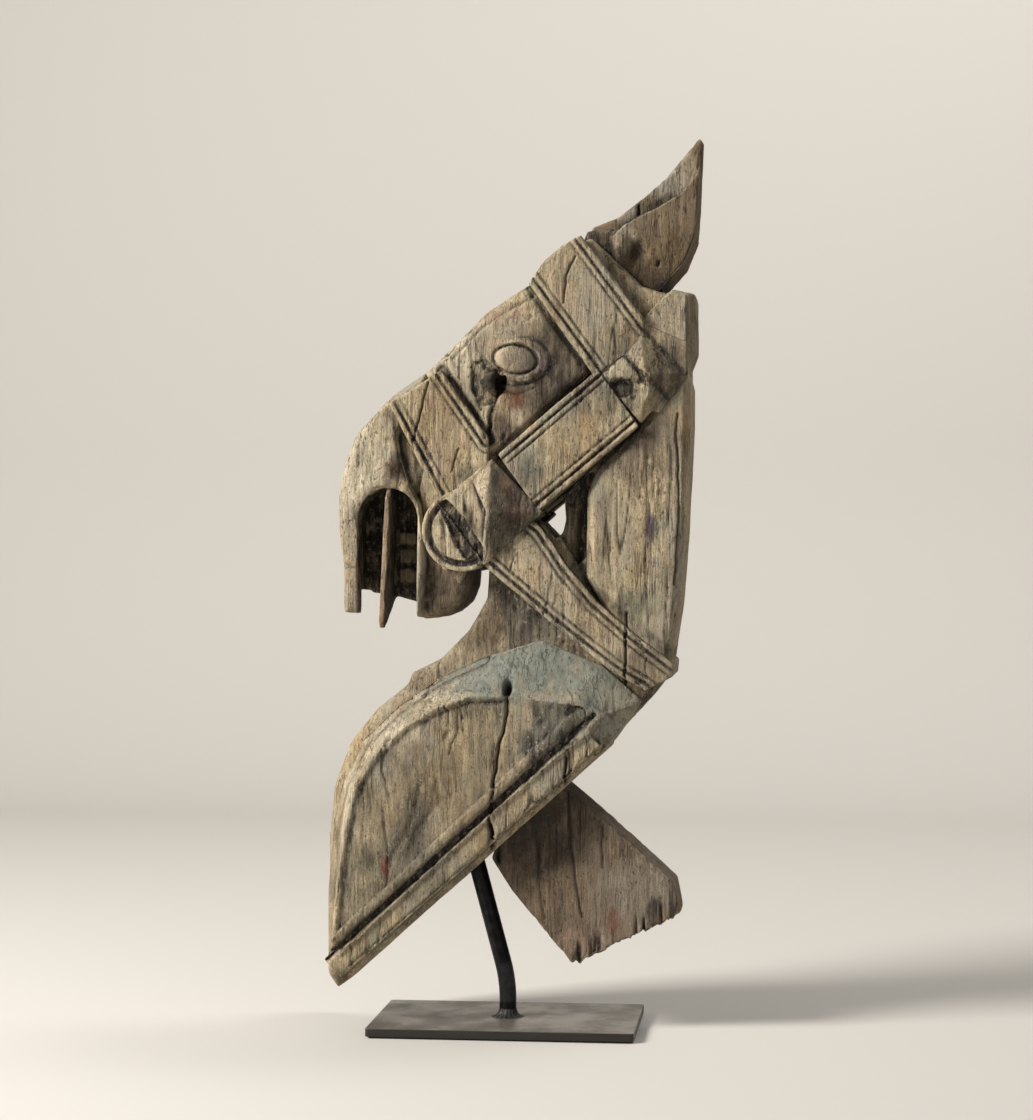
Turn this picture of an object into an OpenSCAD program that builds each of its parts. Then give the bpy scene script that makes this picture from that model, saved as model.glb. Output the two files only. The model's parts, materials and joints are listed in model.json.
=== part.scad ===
// Weathered horse-head timber carving that lifts off a leaning steel stem.
// X runs from the muzzle to the mane, Y through the thickness, Z up.
// The origin is the middle of the felt's underside, where the stand rests.

/* [Stand] */
// Width of the steel plate, left to right
plate_w = 190; // [120:1:260]
// Depth of the steel plate, front to back
plate_d = 120; // [80:1:180]
// Thickness of the steel plate
plate_t = 6; // [4:0.5:12]
// Corner chamfer of the plate, seen from above
plate_chamfer = 2.5; // [1:0.5:8]
// Thickness of the felt sheet glued under the plate
felt_t = 1.2; // [0.8:0.1:3]
// How far the felt stays back from the plate's edges
felt_inset = 2; // [0:0.5:8]

/* [Stem] */
// Diameter of the round bar
stem_d = 12; // [8:0.5:16]
// Lean of the upper stretch from the vertical, in degrees
stem_lean = 15; // [8:0.5:20]
// Height above the plate at which the bar would kink without its bend radius
stem_knee = 26; // [20:1:40]
// Radius of the bend, on the bar's centre line
stem_bend_r = 100; // [60:5:120]
// How much the bar's radius swells where it was bent hot
bend_swell = 0.1; // [0.05:0.05:0.5]
// Distance from the knee to the carving's underside, along the bar
stem_reach = 84.5; // [70:0.5:120]
// Length of the bar that stands inside the carving
peg_length = 45; // [25:1:60]
// Radial clearance between the bar and its drilled hole
peg_gap = 0.1; // [0.05:0.01:0.1]
// Leg of the weld bead round the foot, along the plate
weld_leg = 6; // [3:0.5:10]
// Height of the weld bead
weld_h = 7; // [3:0.5:12]

/* [Carving] */
// Height of the carving, from its lowest tip to the tip of the ear
carving_h = 609; // [480:1:740]
// Thickness of the timber over the straps
block_t = 100; // [80:1:130]
// How far the straps stand proud of the horse's face
strap_proud = 5; // [2:0.5:8]
// Width of the raised lip along each strap
lip_w = 5; // [3:0.5:7]
// How far a lip stands proud of its strap
lip_proud = 1.5; // [0.5:0.5:3]
// Rise of the pyramid bosses above the straps
boss_rise = 12; // [6:1:16]
// Thickness of the chest and of the slab behind the shoulder leaf
chest_t = 66; // [50:1:76]
// Thickness of the neck column
neck_t = 88; // [76:1:96]
// Thickness over the raised field of the shoulder leaf
leaf_t = 108; // [96:1:120]
// Thickness of the ear
ear_t = 60; // [40:1:76]
// Thickness of the tenon that once held the timber in its post
tenon_t = 50; // [36:1:60]
// Depth of the groove between the leaf's rib and its lower band
groove_depth = 9; // [4:1:12]

/* [Mouth] */
// Thickness of the web of wood left at the middle of the mouth
web_t = 18; // [10:1:30]
// Thickness of the tongue slat
tongue_t = 4; // [2.5:0.5:6]
// How far the tongue stops short of the face on each side
tongue_inset = 3; // [1:0.5:8]
// Side clearance of the tongue in its slot
tongue_gap = 0.1; // [0.05:0.05:0.3]
// How far the tongue is let into the roof of the mouth
tongue_let_in = 6; // [3:0.5:12]
// Depth of the near lip below the web, where the far lip is broken off
lip_depth = 18; // [10:1:30]

/* [Hidden] */
$fn = 64;
CUT = 1;   // how far a cut runs past the face it opens
RIM_STEP = 8;     // how far the leaf's rim lies below its raised field
RIB_PROUD = 2;    // how far the rib stands proud of the field
BAND_PROUD = 3;   // how far the lower band stands proud of the rim
EYE_DEPTH = 8;    // how far the eyeball's centre lies below the face
EAR_WALL = 12;    // thickness of the rim on each side of the ear's hollow
REIN_STEP = 2;    // how far the rein lies below the other straps
POCKET_STEP = 8;  // how far the pocket behind the rein cuts into the chest slab
LAP = 1;   // how far the bar's straight stretches run into its bend

plate_z = felt_t;
plate_top = plate_z + plate_t;
knee_z = plate_top + stem_knee;
// The seat is the point where the bar's centre line enters the underside.
seat = [-stem_reach * sin(stem_lean), knee_z + stem_reach * cos(stem_lean)];
tangent_l = stem_bend_r * tan(stem_lean / 2);

head_half = block_t / 2 - strap_proud;
strap_half = block_t / 2;
chest_half = chest_t / 2;
neck_half = neck_t / 2;
leaf_half = leaf_t / 2;
rim_half = leaf_half - RIM_STEP;
groove_half = leaf_half - groove_depth;
ear_half = ear_t / 2;
tenon_half = tenon_t / 2;
web_half = web_t / 2;

// Outlines are drawn at a height of 609, about this seat, as [x, z].
DRAWN_H = 609;
DRAWN_SEAT = [-21.9, 114.8];
k = carving_h / DRAWN_H;
function place(p) = (p - DRAWN_SEAT) * k + seat;
function placed(points) = [for (p = points) place(p)];

MOUTH_TOP_R = 21.5;             // half-width of the mouth's arch
MOUTH_ARCH = [-81, 366];        // centre of the mouth's arch
function arch(c, rx, rz, from, to, n) =
    [for (i = [0:n]) let (a = from + (to - from) * i / n) c + [rx * cos(a), rz * sin(a)]];

MOUTH = concat([[-61, 280]], arch(MOUTH_ARCH, MOUTH_TOP_R, MOUTH_TOP_R + 1, 0, 180, 12),
    [[-102, 280]]);
MOUTH_FLOOR = [[-102, 280], [-61, 280], [-61, 307], [-80, 311], [-102, 314]];
LIP_BREAK = [[-120, 280], [-99, 280], [-99, 315.5], [-120, 318]];
HEAD = [[-113, 301], [-113, 332], [-117, 362], [-117, 386], [-111, 411], [-102, 429],
    [-79, 455], [-54, 472], [-31, 493], [-11, 513], [20, 533], [22, 539], [44, 558],
    [63, 570], [101, 532], [137, 525], [137, 487], [130, 470], [98, 430], [28, 373],
    [-12, 332], [-22, 330], [-26, 310], [-44, 297], [-62, 295], [-62, 299], [-101, 299]];
EAR = [[58, 548], [63, 572], [78, 578], [95, 588], [107, 601], [121, 617], [139, 638],
    [142, 639], [138, 592], [137, 568], [129, 548], [114, 531], [92, 520]];
EAR_HOLLOW = [[88, 594], [98, 584], [132, 606], [142, 636], [126, 640]];
KNOB = [[97, 508], [114, 530], [130, 527], [137, 524], [137, 487], [130, 470], [108, 492]];
NECK = [[60, 330], [60, 380], [66, 400], [98, 432], [131, 470], [134, 461], [134, 433],
    [131, 365], [126, 306], [119, 262], [88, 289]];
CHEST = [[-12, 345], [-12, 310], [-25, 286], [-45, 266], [-67, 256], [-70, 248], [-92, 230],
    [-111, 206], [-122, 176], [-126, 139], [-125, 68], [-125, 40], [-118, 31], [-110, 36],
    [-22, 114.7], [47, 177], [75, 201], [76, 207], [109, 243], [121, 257], [126, 306],
    [131, 365], [134, 433], [133, 466], [98, 440], [30, 385]];
REIN_HOLE = [[25, 366], [36, 378], [42, 378], [43, 370], [42, 360], [38, 354], [32, 360]];
REIN_POCKET = [[25, 367], [49, 387], [66, 401], [60, 382], [60, 330], [49, 342], [38, 352]];
REIN = [[16, 372], [30, 362], [48, 336], [72, 306], [92, 287], [121, 264], [121, 256], [102, 246],
    [80, 259], [55, 278], [35, 294], [-12, 332]];
LEAF = [[28, 281], [-14, 267], [-43, 254], [-75, 232], [-100, 209], [-115, 178], [-121, 152],
    [-124, 110], [-124, 41], [-118, 31], [-110, 36], [-22, 114.7], [47, 177], [75, 201],
    [76, 207], [98, 232], [60, 266]];
FIELD = [[1, 239], [-22, 240], [-44, 232], [-68, 219], [-88, 200], [-103, 178], [-109, 146],
    [-114, 72], [-70, 108], [3, 178], [52, 222]];
RIB = [[-117, 68], [53, 228]];
GROOVE = [[-119, 60], [60, 223]];
BAND = [[-119, 48], [66, 214]];
RIB_W = 9;
GROOVE_W = 4;
BAND_W = 17;
TENON = [[0, 150], [33, 185], [45, 175], [75, 150], [103, 125], [122, 108], [126, 85], [101, 73],
    [63, 53], [49, 48], [27, 75], [-9, 126]];
NOSEBAND = [[-80, 447], [-42, 471], [-9, 424], [-8, 411], [-43, 378]];
BROWBAND = [[22, 530], [57, 561], [101, 507], [100, 492], [64, 466]];
CHEEK_STRAP = [[0, 414], [68, 471], [98, 430], [28, 373]];
STRAP_LIPS = [[[-78, 445], [-41, 381]], [[-44, 469], [-11, 421]], [[25, 530], [69, 475]],
    [[56, 559], [99, 503]], [[2, 412], [70, 469]], [[29, 376], [97, 432]]];
CHEEK_BOSS = [-9, 372];
CHEEK_BOSS_R = 41;
POLL_BOSS = [104, 469];
POLL_BOSS_R = 32;
BOSS_TURN = 4;
RING = [-27, 358];
RING_R = 29;
RING_W = 3.5;
DISC_R = 22;
EYE = [10, 479];
EYE_R = 13;

TONGUE_X = -83.5;
TONGUE_TOP = MOUTH_ARCH[1] + MOUTH_TOP_R + 1;
TONGUE_TIP = 288;
TONGUE_MID = 308;  // the slat's lower edge at the middle of its depth
TONGUE_FAR = 316;  // the slat's lower edge at the far face

// A plate cut to an outline in the X-Z plane, from one y to another.
module slab(points, y_from, y_to) {
    translate([0, y_to, 0])
        rotate([90, 0, 0])
            linear_extrude(height = y_to - y_from)
                polygon(placed(points));
}

// The same plate, centred on the timber.
module core(points, half) {
    slab(points, -half, half);
}

// A straight bar between two drawn points, centred on the timber.
module bar(ends, w, half) {
    a = place(ends[0]);
    b = place(ends[1]);
    run = b - a;
    translate([a[0], half, a[1]])
        rotate([90, 0, 0])
            rotate([0, 0, atan2(run[1], run[0])])
                translate([0, -w / 2, 0])
                    cube([norm(run), w, 2 * half]);
}

// A round about the Y axis through a drawn point, centred on the timber.
module round_through(centre, r, half) {
    c = place(centre);
    translate([c[0], half, c[1]])
        rotate([90, 0, 0])
            cylinder(r = r * k, h = 2 * half);
}

module both_faces() {
    children();
    mirror([0, 1, 0])
        children();
}

// A four-sided pyramid on the near face, with a narrow flat at its point.
module boss(centre, r, base_half, rise) {
    c = place(centre);
    translate([c[0], -base_half + CUT, c[1]])
        rotate([90, BOSS_TURN, 0])
            cylinder(r1 = r * k, r2 = 1, h = rise + CUT, $fn = 4);
}

// Everything beyond the knee is drawn along +Z from the knee.
module along_lean() {
    translate([0, 0, knee_z])
        rotate([0, -stem_lean, 0])
            children();
}

module peg_bore() {
    along_lean()
        translate([0, 0, tangent_l])
            cylinder(r = stem_d / 2 + peg_gap, h = stem_reach + peg_length - tangent_l);
}

module bridle() {
    core(NOSEBAND, strap_half);
    core(BROWBAND, strap_half);
    core(CHEEK_STRAP, strap_half);
    core(REIN, strap_half - REIN_STEP);
    for (lip = STRAP_LIPS)
        bar(lip, lip_w, strap_half + lip_proud);
    both_faces() {
        boss(CHEEK_BOSS, CHEEK_BOSS_R, strap_half, boss_rise);
        boss(POLL_BOSS, POLL_BOSS_R, strap_half, boss_rise);
    }
}

module bit_ring() {
    difference() {
        round_through(RING, RING_R, strap_half + lip_proud);
        both_faces()
            translate([0, -strap_half, 0])
                ring_groove();
    }
}

module ring_groove() {
    c = place(RING);
    translate([c[0], lip_proud, c[1]])
        rotate([90, 0, 0])
            difference() {
                cylinder(r = (RING_R - RING_W) * k, h = 2 * lip_proud + CUT);
                translate([0, 0, -CUT])
                    cylinder(r = DISC_R * k, h = 2 * lip_proud + 3 * CUT);
            }
}

module eyes() {
    c = place(EYE);
    both_faces()
        translate([c[0], -head_half + EYE_DEPTH, c[1]])
            sphere(r = EYE_R * k);
}

module rib_groove() {
    difference() {
        bar(GROOVE, GROOVE_W, leaf_half + 2 * RIB_PROUD);
        bar(GROOVE, 2 * GROOVE_W, groove_half);
    }
}

module shoulder() {
    difference() {
        union() {
            core(CHEST, chest_half);
            core(LEAF, rim_half);
            core(FIELD, leaf_half);
            bar(RIB, RIB_W, leaf_half + RIB_PROUD);
            bar(BAND, BAND_W, rim_half + BAND_PROUD);
        }
        rib_groove();
    }
}

module mouth() {
    both_faces()
        slab(MOUTH, -block_t, -web_half);
    core(MOUTH_FLOOR, block_t);
    slab(LIP_BREAK, -head_half + lip_depth, block_t);
}

module tongue_slot() {
    x = place([TONGUE_X, 0])[0];
    w = tongue_t + 2 * tongue_gap;
    z_top = place([0, TONGUE_TOP])[1] + tongue_let_in;
    depth = strap_half - tongue_inset + tongue_gap;
    translate([x - w / 2, -depth, z_top - 120 * k])
        cube([w, 2 * depth, 120 * k]);
}

module carved_block() {
    color("tan")
        difference() {
            union() {
                core(HEAD, head_half);
                core(NECK, neck_half);
                core(KNOB, neck_half);
                core(TENON, tenon_half);
                bridle();
                bit_ring();
                eyes();
                shoulder();
                difference() {
                    core(EAR, ear_half);
                    core(EAR_HOLLOW, ear_half - EAR_WALL);
                }
            }
            core(REIN_HOLE, block_t);
            both_faces()
                slab(REIN_POCKET, -block_t, -chest_half + POCKET_STEP);
            mouth();
            tongue_slot();
            peg_bore();
        }
}

module tongue() {
    x = place([TONGUE_X, 0])[0];
    half = strap_half - tongue_inset;
    z_top = place([0, TONGUE_TOP])[1] + tongue_let_in;
    z_tip = place([0, TONGUE_TIP])[1];
    z_mid = place([0, TONGUE_MID])[1];
    z_far = place([0, TONGUE_FAR])[1];
    color("peru")
        translate([x - tongue_t / 2, 0, 0])
            rotate([90, 0, 90])
                linear_extrude(height = tongue_t)
                    polygon([[-half, z_top], [-half, z_tip + 4], [-half + 4, z_tip],
                        [-half + 12, z_tip + 2], [0, z_mid], [half, z_far], [half, z_top]]);
}

module stem_rod() {
    color("dimgray") {
        translate([0, 0, plate_top])
            cylinder(d = stem_d, h = stem_knee - tangent_l + LAP);
        translate([-stem_bend_r, 0, knee_z - tangent_l])
            rotate([90, 0, 0])
                rotate_extrude(angle = stem_lean, $fn = 192)
                    translate([stem_bend_r, 0])
                        circle(r = stem_d / 2 + bend_swell, $fn = 64);
        along_lean()
            translate([0, 0, tangent_l - LAP])
                cylinder(d = stem_d, h = stem_reach + peg_length - tangent_l + LAP);
    }
}

module foot_weld() {
    r = stem_d / 2;
    color("slategray")
        translate([0, 0, plate_top])
            rotate_extrude()
                polygon(concat([[r, 0], [r + weld_leg, 0]],
                    [for (a = [15:15:75])
                        [r + weld_leg * (1 - sin(a)), weld_h * (1 - cos(a))]],
                    [[r, weld_h]]));
}

// A flat sheet with cut corners, its lower face at z.
module sheet(w, d, t, cut, z) {
    translate([0, 0, z])
        linear_extrude(height = t)
            polygon([[-w / 2 + cut, -d / 2], [w / 2 - cut, -d / 2], [w / 2, -d / 2 + cut],
                [w / 2, d / 2 - cut], [w / 2 - cut, d / 2], [-w / 2 + cut, d / 2],
                [-w / 2, d / 2 - cut], [-w / 2, -d / 2 + cut]]);
}

module base_plate() {
    color("gray")
        sheet(plate_w, plate_d, plate_t, plate_chamfer, plate_z);
}

module felt_sheet() {
    color("black")
        sheet(plate_w - 2 * felt_inset, plate_d - 2 * felt_inset, felt_t, plate_chamfer, 0);
}

carved_block();
tongue();
stem_rod();
foot_weld();
base_plate();
felt_sheet();
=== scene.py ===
"""Weathered horse-head timber carving on a leaning steel stem, built piece by piece."""

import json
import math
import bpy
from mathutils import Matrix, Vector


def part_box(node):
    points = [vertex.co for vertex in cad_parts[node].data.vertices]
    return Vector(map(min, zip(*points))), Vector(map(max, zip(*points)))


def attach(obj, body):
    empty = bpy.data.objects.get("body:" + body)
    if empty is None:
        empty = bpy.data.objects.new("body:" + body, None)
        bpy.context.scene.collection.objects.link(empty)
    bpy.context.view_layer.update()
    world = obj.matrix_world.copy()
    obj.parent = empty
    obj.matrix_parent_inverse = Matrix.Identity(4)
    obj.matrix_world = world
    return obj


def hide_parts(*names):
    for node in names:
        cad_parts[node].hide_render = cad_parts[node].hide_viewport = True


bl_info = {
    "name": "Carved Horse Head on Stand",
    "version": (1, 0, 0),
    "blender": (4, 5, 0),
    "location": "View3D > Sidebar > Carving",
    "description": "Builds a weathered carved horse head and the steel stand that holds it",
    "category": "Object",
}

import bmesh
import bpy
import numpy as np
from bpy.props import FloatProperty, FloatVectorProperty, PointerProperty
from mathutils import Matrix, Vector

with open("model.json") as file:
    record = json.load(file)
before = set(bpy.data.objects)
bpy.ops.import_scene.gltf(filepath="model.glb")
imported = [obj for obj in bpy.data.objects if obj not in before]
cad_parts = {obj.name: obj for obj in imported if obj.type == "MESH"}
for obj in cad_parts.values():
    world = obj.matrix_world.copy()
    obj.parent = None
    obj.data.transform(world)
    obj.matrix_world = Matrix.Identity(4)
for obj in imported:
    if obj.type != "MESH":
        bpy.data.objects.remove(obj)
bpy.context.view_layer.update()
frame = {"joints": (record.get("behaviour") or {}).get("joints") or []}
MM = 0.001
BLOCK = "carved_block"
CARVING = "carving"
STAND = "stand"

# Half-thicknesses of the timber at each level of the relief, in millimetres.
CORE = 38
JAW = 37
FACE = 44.5
RIM = 46
STRAP = 49.5
NECK = 44
CHEST = 33
BAND = 50
FIELD = 53
RIB = 55.5
TENON = 25
WEB = 9
LIP_DEPTH = 18
BOSS_RISE = 12
# How deep the strap plates reach into the timber.
SKIN = 14
# Half-depth of a cutter that passes both faces.
THROUGH = 80
# The most triangles that one timber piece keeps.
MOST_TRIANGLES = 180000

# Cell size of the tongue's skin; the peg hole's play, length and the distance of its middle below
# the peg's tip; the radius of the bar's bend and the bevel of its ends. All in metres.
TONGUE_CELL = 0.7 * MM
PEG_PLAY = 0.4 * MM
PEG_HOLE_LENGTH = 120 * MM
PEG_HOLE_MIDDLE = 59.5 * MM
BEND_RADIUS = 100 * MM
BAR_BEVEL = 0.5 * MM

# The camera, and the light of the room.
LENS_MM = 82.286
SENSOR_MM = 36
CAMERA_PLACE = (0.2084, -1.8414, 0.3373)
CAMERA_TURN = 6.265
ROOM_COLOUR = (0.86, 0.85, 0.83, 1)
ROOM_STRENGTH = 0.29

# Outlines of the carving in its own plane, as (x, z) in millimetres.
HEAD_CORE = [(-100, 310), (-112, 332), (-114, 362), (-114, 386), (-108, 409), (-100, 427),
             (-77, 452), (-53, 469), (-30, 490), (-10, 510), (22, 531), (43, 554), (63, 566),
             (100, 531), (132, 521), (132, 489), (128, 472), (97, 431), (29, 375), (-12, 334),
             (-24, 332), (-30, 313), (-60, 305)]
MUZZLE = [(-113, 300), (-113, 332), (-117, 362), (-117, 386), (-111, 411), (-104, 427),
          (-82, 451), (-76, 437), (-72, 412), (-66, 392), (-58, 378), (-55, 360), (-54, 330),
          (-57, 297), (-62, 295), (-80, 300), (-101, 299)]
JAW_SIDE = [(-60, 350), (-22, 350), (-22, 330), (-23, 318), (-28, 307), (-36, 300), (-46, 296),
            (-57, 295)]
BRIDGE = [(-117, 370), (-117, 386), (-111, 411), (-104, 427), (-79, 454), (-54, 471),
          (-50, 455), (-70, 430), (-85, 405), (-90, 385)]
FACE_PANEL = [(-56, 470), (-31, 493), (-11, 513), (22, 534), (70, 476), (2, 410), (-20, 412),
              (-40, 440)]
NOSEBAND = [(-80, 448), (-42, 472), (-8, 424), (-8, 404), (-43, 377)]
BROWBAND = [(20, 532), (30, 547), (44, 559), (57, 566), (102, 507), (102, 490), (66, 466)]
CHEEK_STRAP = [(-2, 412), (69, 472), (98, 431), (27, 371)]
EAR_FAR = [(56, 560), (60, 579), (79, 586), (93, 597), (113, 614), (126, 629), (138, 643),
           (141, 640), (139, 592), (137, 568), (129, 548), (114, 531), (98, 525)]
EAR_NEAR = [(79, 552), (77, 566), (86, 575), (95, 580), (110, 587), (127, 597), (137, 610),
            (140, 616), (139, 592), (137, 568), (129, 548), (114, 531), (98, 512), (84, 532)]
EAR_FLOOR = [(60, 552), (60, 566), (90, 574), (110, 582), (130, 598), (139, 628), (139, 592),
             (137, 568), (129, 548), (114, 531), (98, 512)]
EAR_ROOT = [(52, 552), (60, 571), (78, 574), (86, 540), (114, 531), (110, 500), (88, 505)]
KNOB_EDGE = [(97, 507), (112, 524), (121, 529), (137, 525), (137, 486), (130, 468), (114, 480)]
KNOB_FACE = [(100, 506), (114, 521), (121, 525), (131, 523), (131, 476), (128, 470), (115, 484)]
POLL_TIE = [(86, 450), (70, 470), (82, 484), (100, 505), (132, 490), (132, 466), (112, 440)]
NECK_SIDE = [(60, 325), (60, 384), (68, 402), (98, 432), (131, 472), (134, 461), (134, 433),
             (131, 365), (126, 306), (119, 259), (84, 282)]
NECK_CORE = [(43, 340), (42, 360), (42, 384), (60, 400), (98, 436), (131, 468), (133, 440),
             (129, 365), (124, 306), (118, 262), (60, 290)]
CHEST_SIDE = [(-10, 340), (-12, 310), (-25, 287), (-45, 267), (-66, 257), (-70, 248), (-92, 230),
              (-111, 206), (-122, 176), (-126, 139), (-125, 68), (-125, 42), (-118, 33),
              (-108, 40), (-22, 116), (47, 178), (75, 203), (76, 208), (106, 240), (120, 258),
              (110, 330), (40, 372), (28, 372), (24, 362)]
REIN = [(12, 374), (30, 360), (48, 333), (68, 309), (92, 288), (122, 265), (121, 255),
        (102, 245), (80, 258), (55, 277), (35, 293), (-12, 333)]
REIN_END = [(104, 276), (122, 265), (121, 255), (106, 247)]
LEAF_EDGE = [(100, 238), (72, 262), (28, 281), (-14, 268), (-43, 255), (-75, 233), (-100, 209),
             (-115, 178), (-121, 152), (-125, 100), (-125, 42), (-118, 32), (-108, 39),
             (-22, 116), (47, 178), (76, 206)]
LEAF_FIELD = [(66, 226), (50, 236), (6, 241), (-22, 241), (-44, 233), (-68, 220), (-88, 201),
              (-103, 178), (-110, 146), (-116, 100), (-119, 72), (-114, 60), (-100, 72),
              (-14, 152), (40, 200), (62, 216)]
FIELD_RIM = [(50, 229), (21, 238), (6, 242), (-22, 241), (-44, 233), (-68, 220), (-88, 201),
             (-103, 178), (-110, 146), (-116, 100), (-119, 72)]
TENON_SIDE = [(0, 150), (33, 185), (45, 175), (75, 150), (103, 125), (122, 108), (124, 97),
              (126, 85), (101, 73), (82, 64), (63, 54), (49, 48), (27, 75), (6, 101), (-9, 124)]
REIN_POCKET = [(32, 368), (48, 387), (66, 402), (61, 384), (60, 340), (54, 334), (44, 350)]
REIN_HOLE = [(25, 367), (32, 374), (38, 380), (43, 379), (44, 366), (42, 358), (38, 353),
             (31, 360)]
MOUTH_FLOOR = [(-101, 270), (-61, 270), (-61, 306), (-79, 311), (-101, 314)]
LIP_BREAK = [(-125, 270), (-99, 270), (-99, 315), (-125, 318)]

CHEEK_BOSS = [(-6, 409), (31, 371), (-11, 333), (-45, 378)]
CHEEK_APEX = (-8, 371)
POLL_BOSS = [(99, 501), (130, 468), (99, 433), (70, 467)]
POLL_APEX = (102, 466)
RING_CENTRE = (-27, 358)
RING_RADIUS = 29
RING_GROOVE = 23.3
# The broken patch before the eye and the flake below it.
BROKEN_PATCH = [(-22, 476), (-11, 480), (-3, 471), (-2, 455), (-14, 442), (-20, 455)]
FLAKE = [(-15, 446), (-4, 448), (-7, 437), (-11, 424), (-17, 434)]
# Lines cut round the eye, as (line, depth, width).
FACE_LINES = [([(-34, 480), (-14, 501), (4, 513), (24, 524)], 1.0, 1.4),
              ([(-2, 465), (8, 460), (20, 462), (29, 470)], 1.0, 1.0),
              ([(0, 458), (12, 454), (24, 459)], 0.8, 0.9)]
# The eyeball and the lids as (centre, half-width, half-height, turn).
EYE = ((10, 479), 14.5, 9.5, -8)
LID = ((15, 478), 20, 16, -5)
MOUTH_TOP = (-81, 366)
RIB_LINE = ((-119, 66), (54, 228))
GROOVE_LINE = ((-124, 55), (66, 228))
BAND_LINE = ((-120, 47), (66, 213))
NOSE_WELTS = [((-80, 448), (-43, 379)), ((-42, 472), (-8, 422))]
BROW_WELTS = [((20, 532), (68, 466)), ((57, 566), (104, 502))]
CHEEK_WELTS = [((-2, 412), (69, 472)), ((27, 371), (98, 431))]
PANEL_EDGES = NOSE_WELTS[1:] + BROW_WELTS[:1] + CHEEK_WELTS[:1]
REIN_WELTS = [((12, 374), (30, 360), (48, 333), (68, 309), (92, 288), (130, 259)),
              ((-20, 340), (35, 293), (55, 277), (80, 258), (102, 245), (112, 236))]

# Drying checks as (line, width, depth), and knot holes as (centre, width, depth).
CRACKS = [
    (((11, 276), (9, 266), (7, 254)), 0.8, 0.8),
    (((6, 243), (5, 232), (2, 218), (-3, 189), (-6, 166), (-7, 154), (-5, 136)), 1.4, 4.0),
    (((-7, 150), (-5, 122)), 2.4, 6.0),
    (((47, 198), (46, 188), (46, 176)), 1.6, 3.5),
    (((46, 174), (47, 148), (49, 130), (53, 98), (57, 83)), 1.3, 1.8),
    (((70, 150), (71, 135), (71, 118)), 1.1, 1.5),
    (((23, 143), (26, 97), (30, 81)), 1.1, 1.2),
    (((89, 300), (89, 278), (88, 250)), 1.4, 2.5),
    (((124, 440), (125, 400), (126, 360), (123, 320)), 1.4, 1.8),
    (((98, 425), (97, 400), (98, 380)), 1.0, 1.0),
    (((108, 410), (107, 380)), 1.0, 1.0),
    (((53, 551), (47, 536), (45, 518)), 1.1, 1.6),
    (((-51, 463), (-56, 441), (-60, 430), (-62, 420)), 1.3, 1.8),
    (((-30, 416), (-33, 408), (-35, 400)), 1.0, 1.2),
    (((-1, 458), (-4, 448), (-8, 436), (-10, 424)), 2.2, 3.5),
    (((94, 588), (93, 599)), 1.8, 3.0),
    (((-83, 205), (-84, 190), (-80, 170)), 1.1, 1.2),
    (((-30, 232), (-31, 214), (-36, 200)), 1.0, 1.2),
    (((-46, 186), (-44, 165), (-58, 146), (-64, 128)), 4.5, 1.3),
    (((-57, 178), (-63, 150), (-78, 124)), 4.0, 1.2),
    (((-110, 332), (-101, 332)), 1.0, 0.8),
    (((-60, 327), (-51, 326)), 1.0, 1.0),
    (((-8, 356), (-9, 345), (-11, 336)), 0.9, 0.6),
    (((10, 345), (7, 330)), 1.0, 1.0),
]
KNOTS = [((6, 247), 5.5, 9.0), ((-80, 209), 4.0, 6.0), ((-38, 213), 4.0, 1.2),
         ((-2, 463), 8.0, 14.0), ((110, 547), 2.4, 2.5), ((94, 452), 2.6, 2.0),
         ((2, 424), 3.0, 2.0)]

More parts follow.
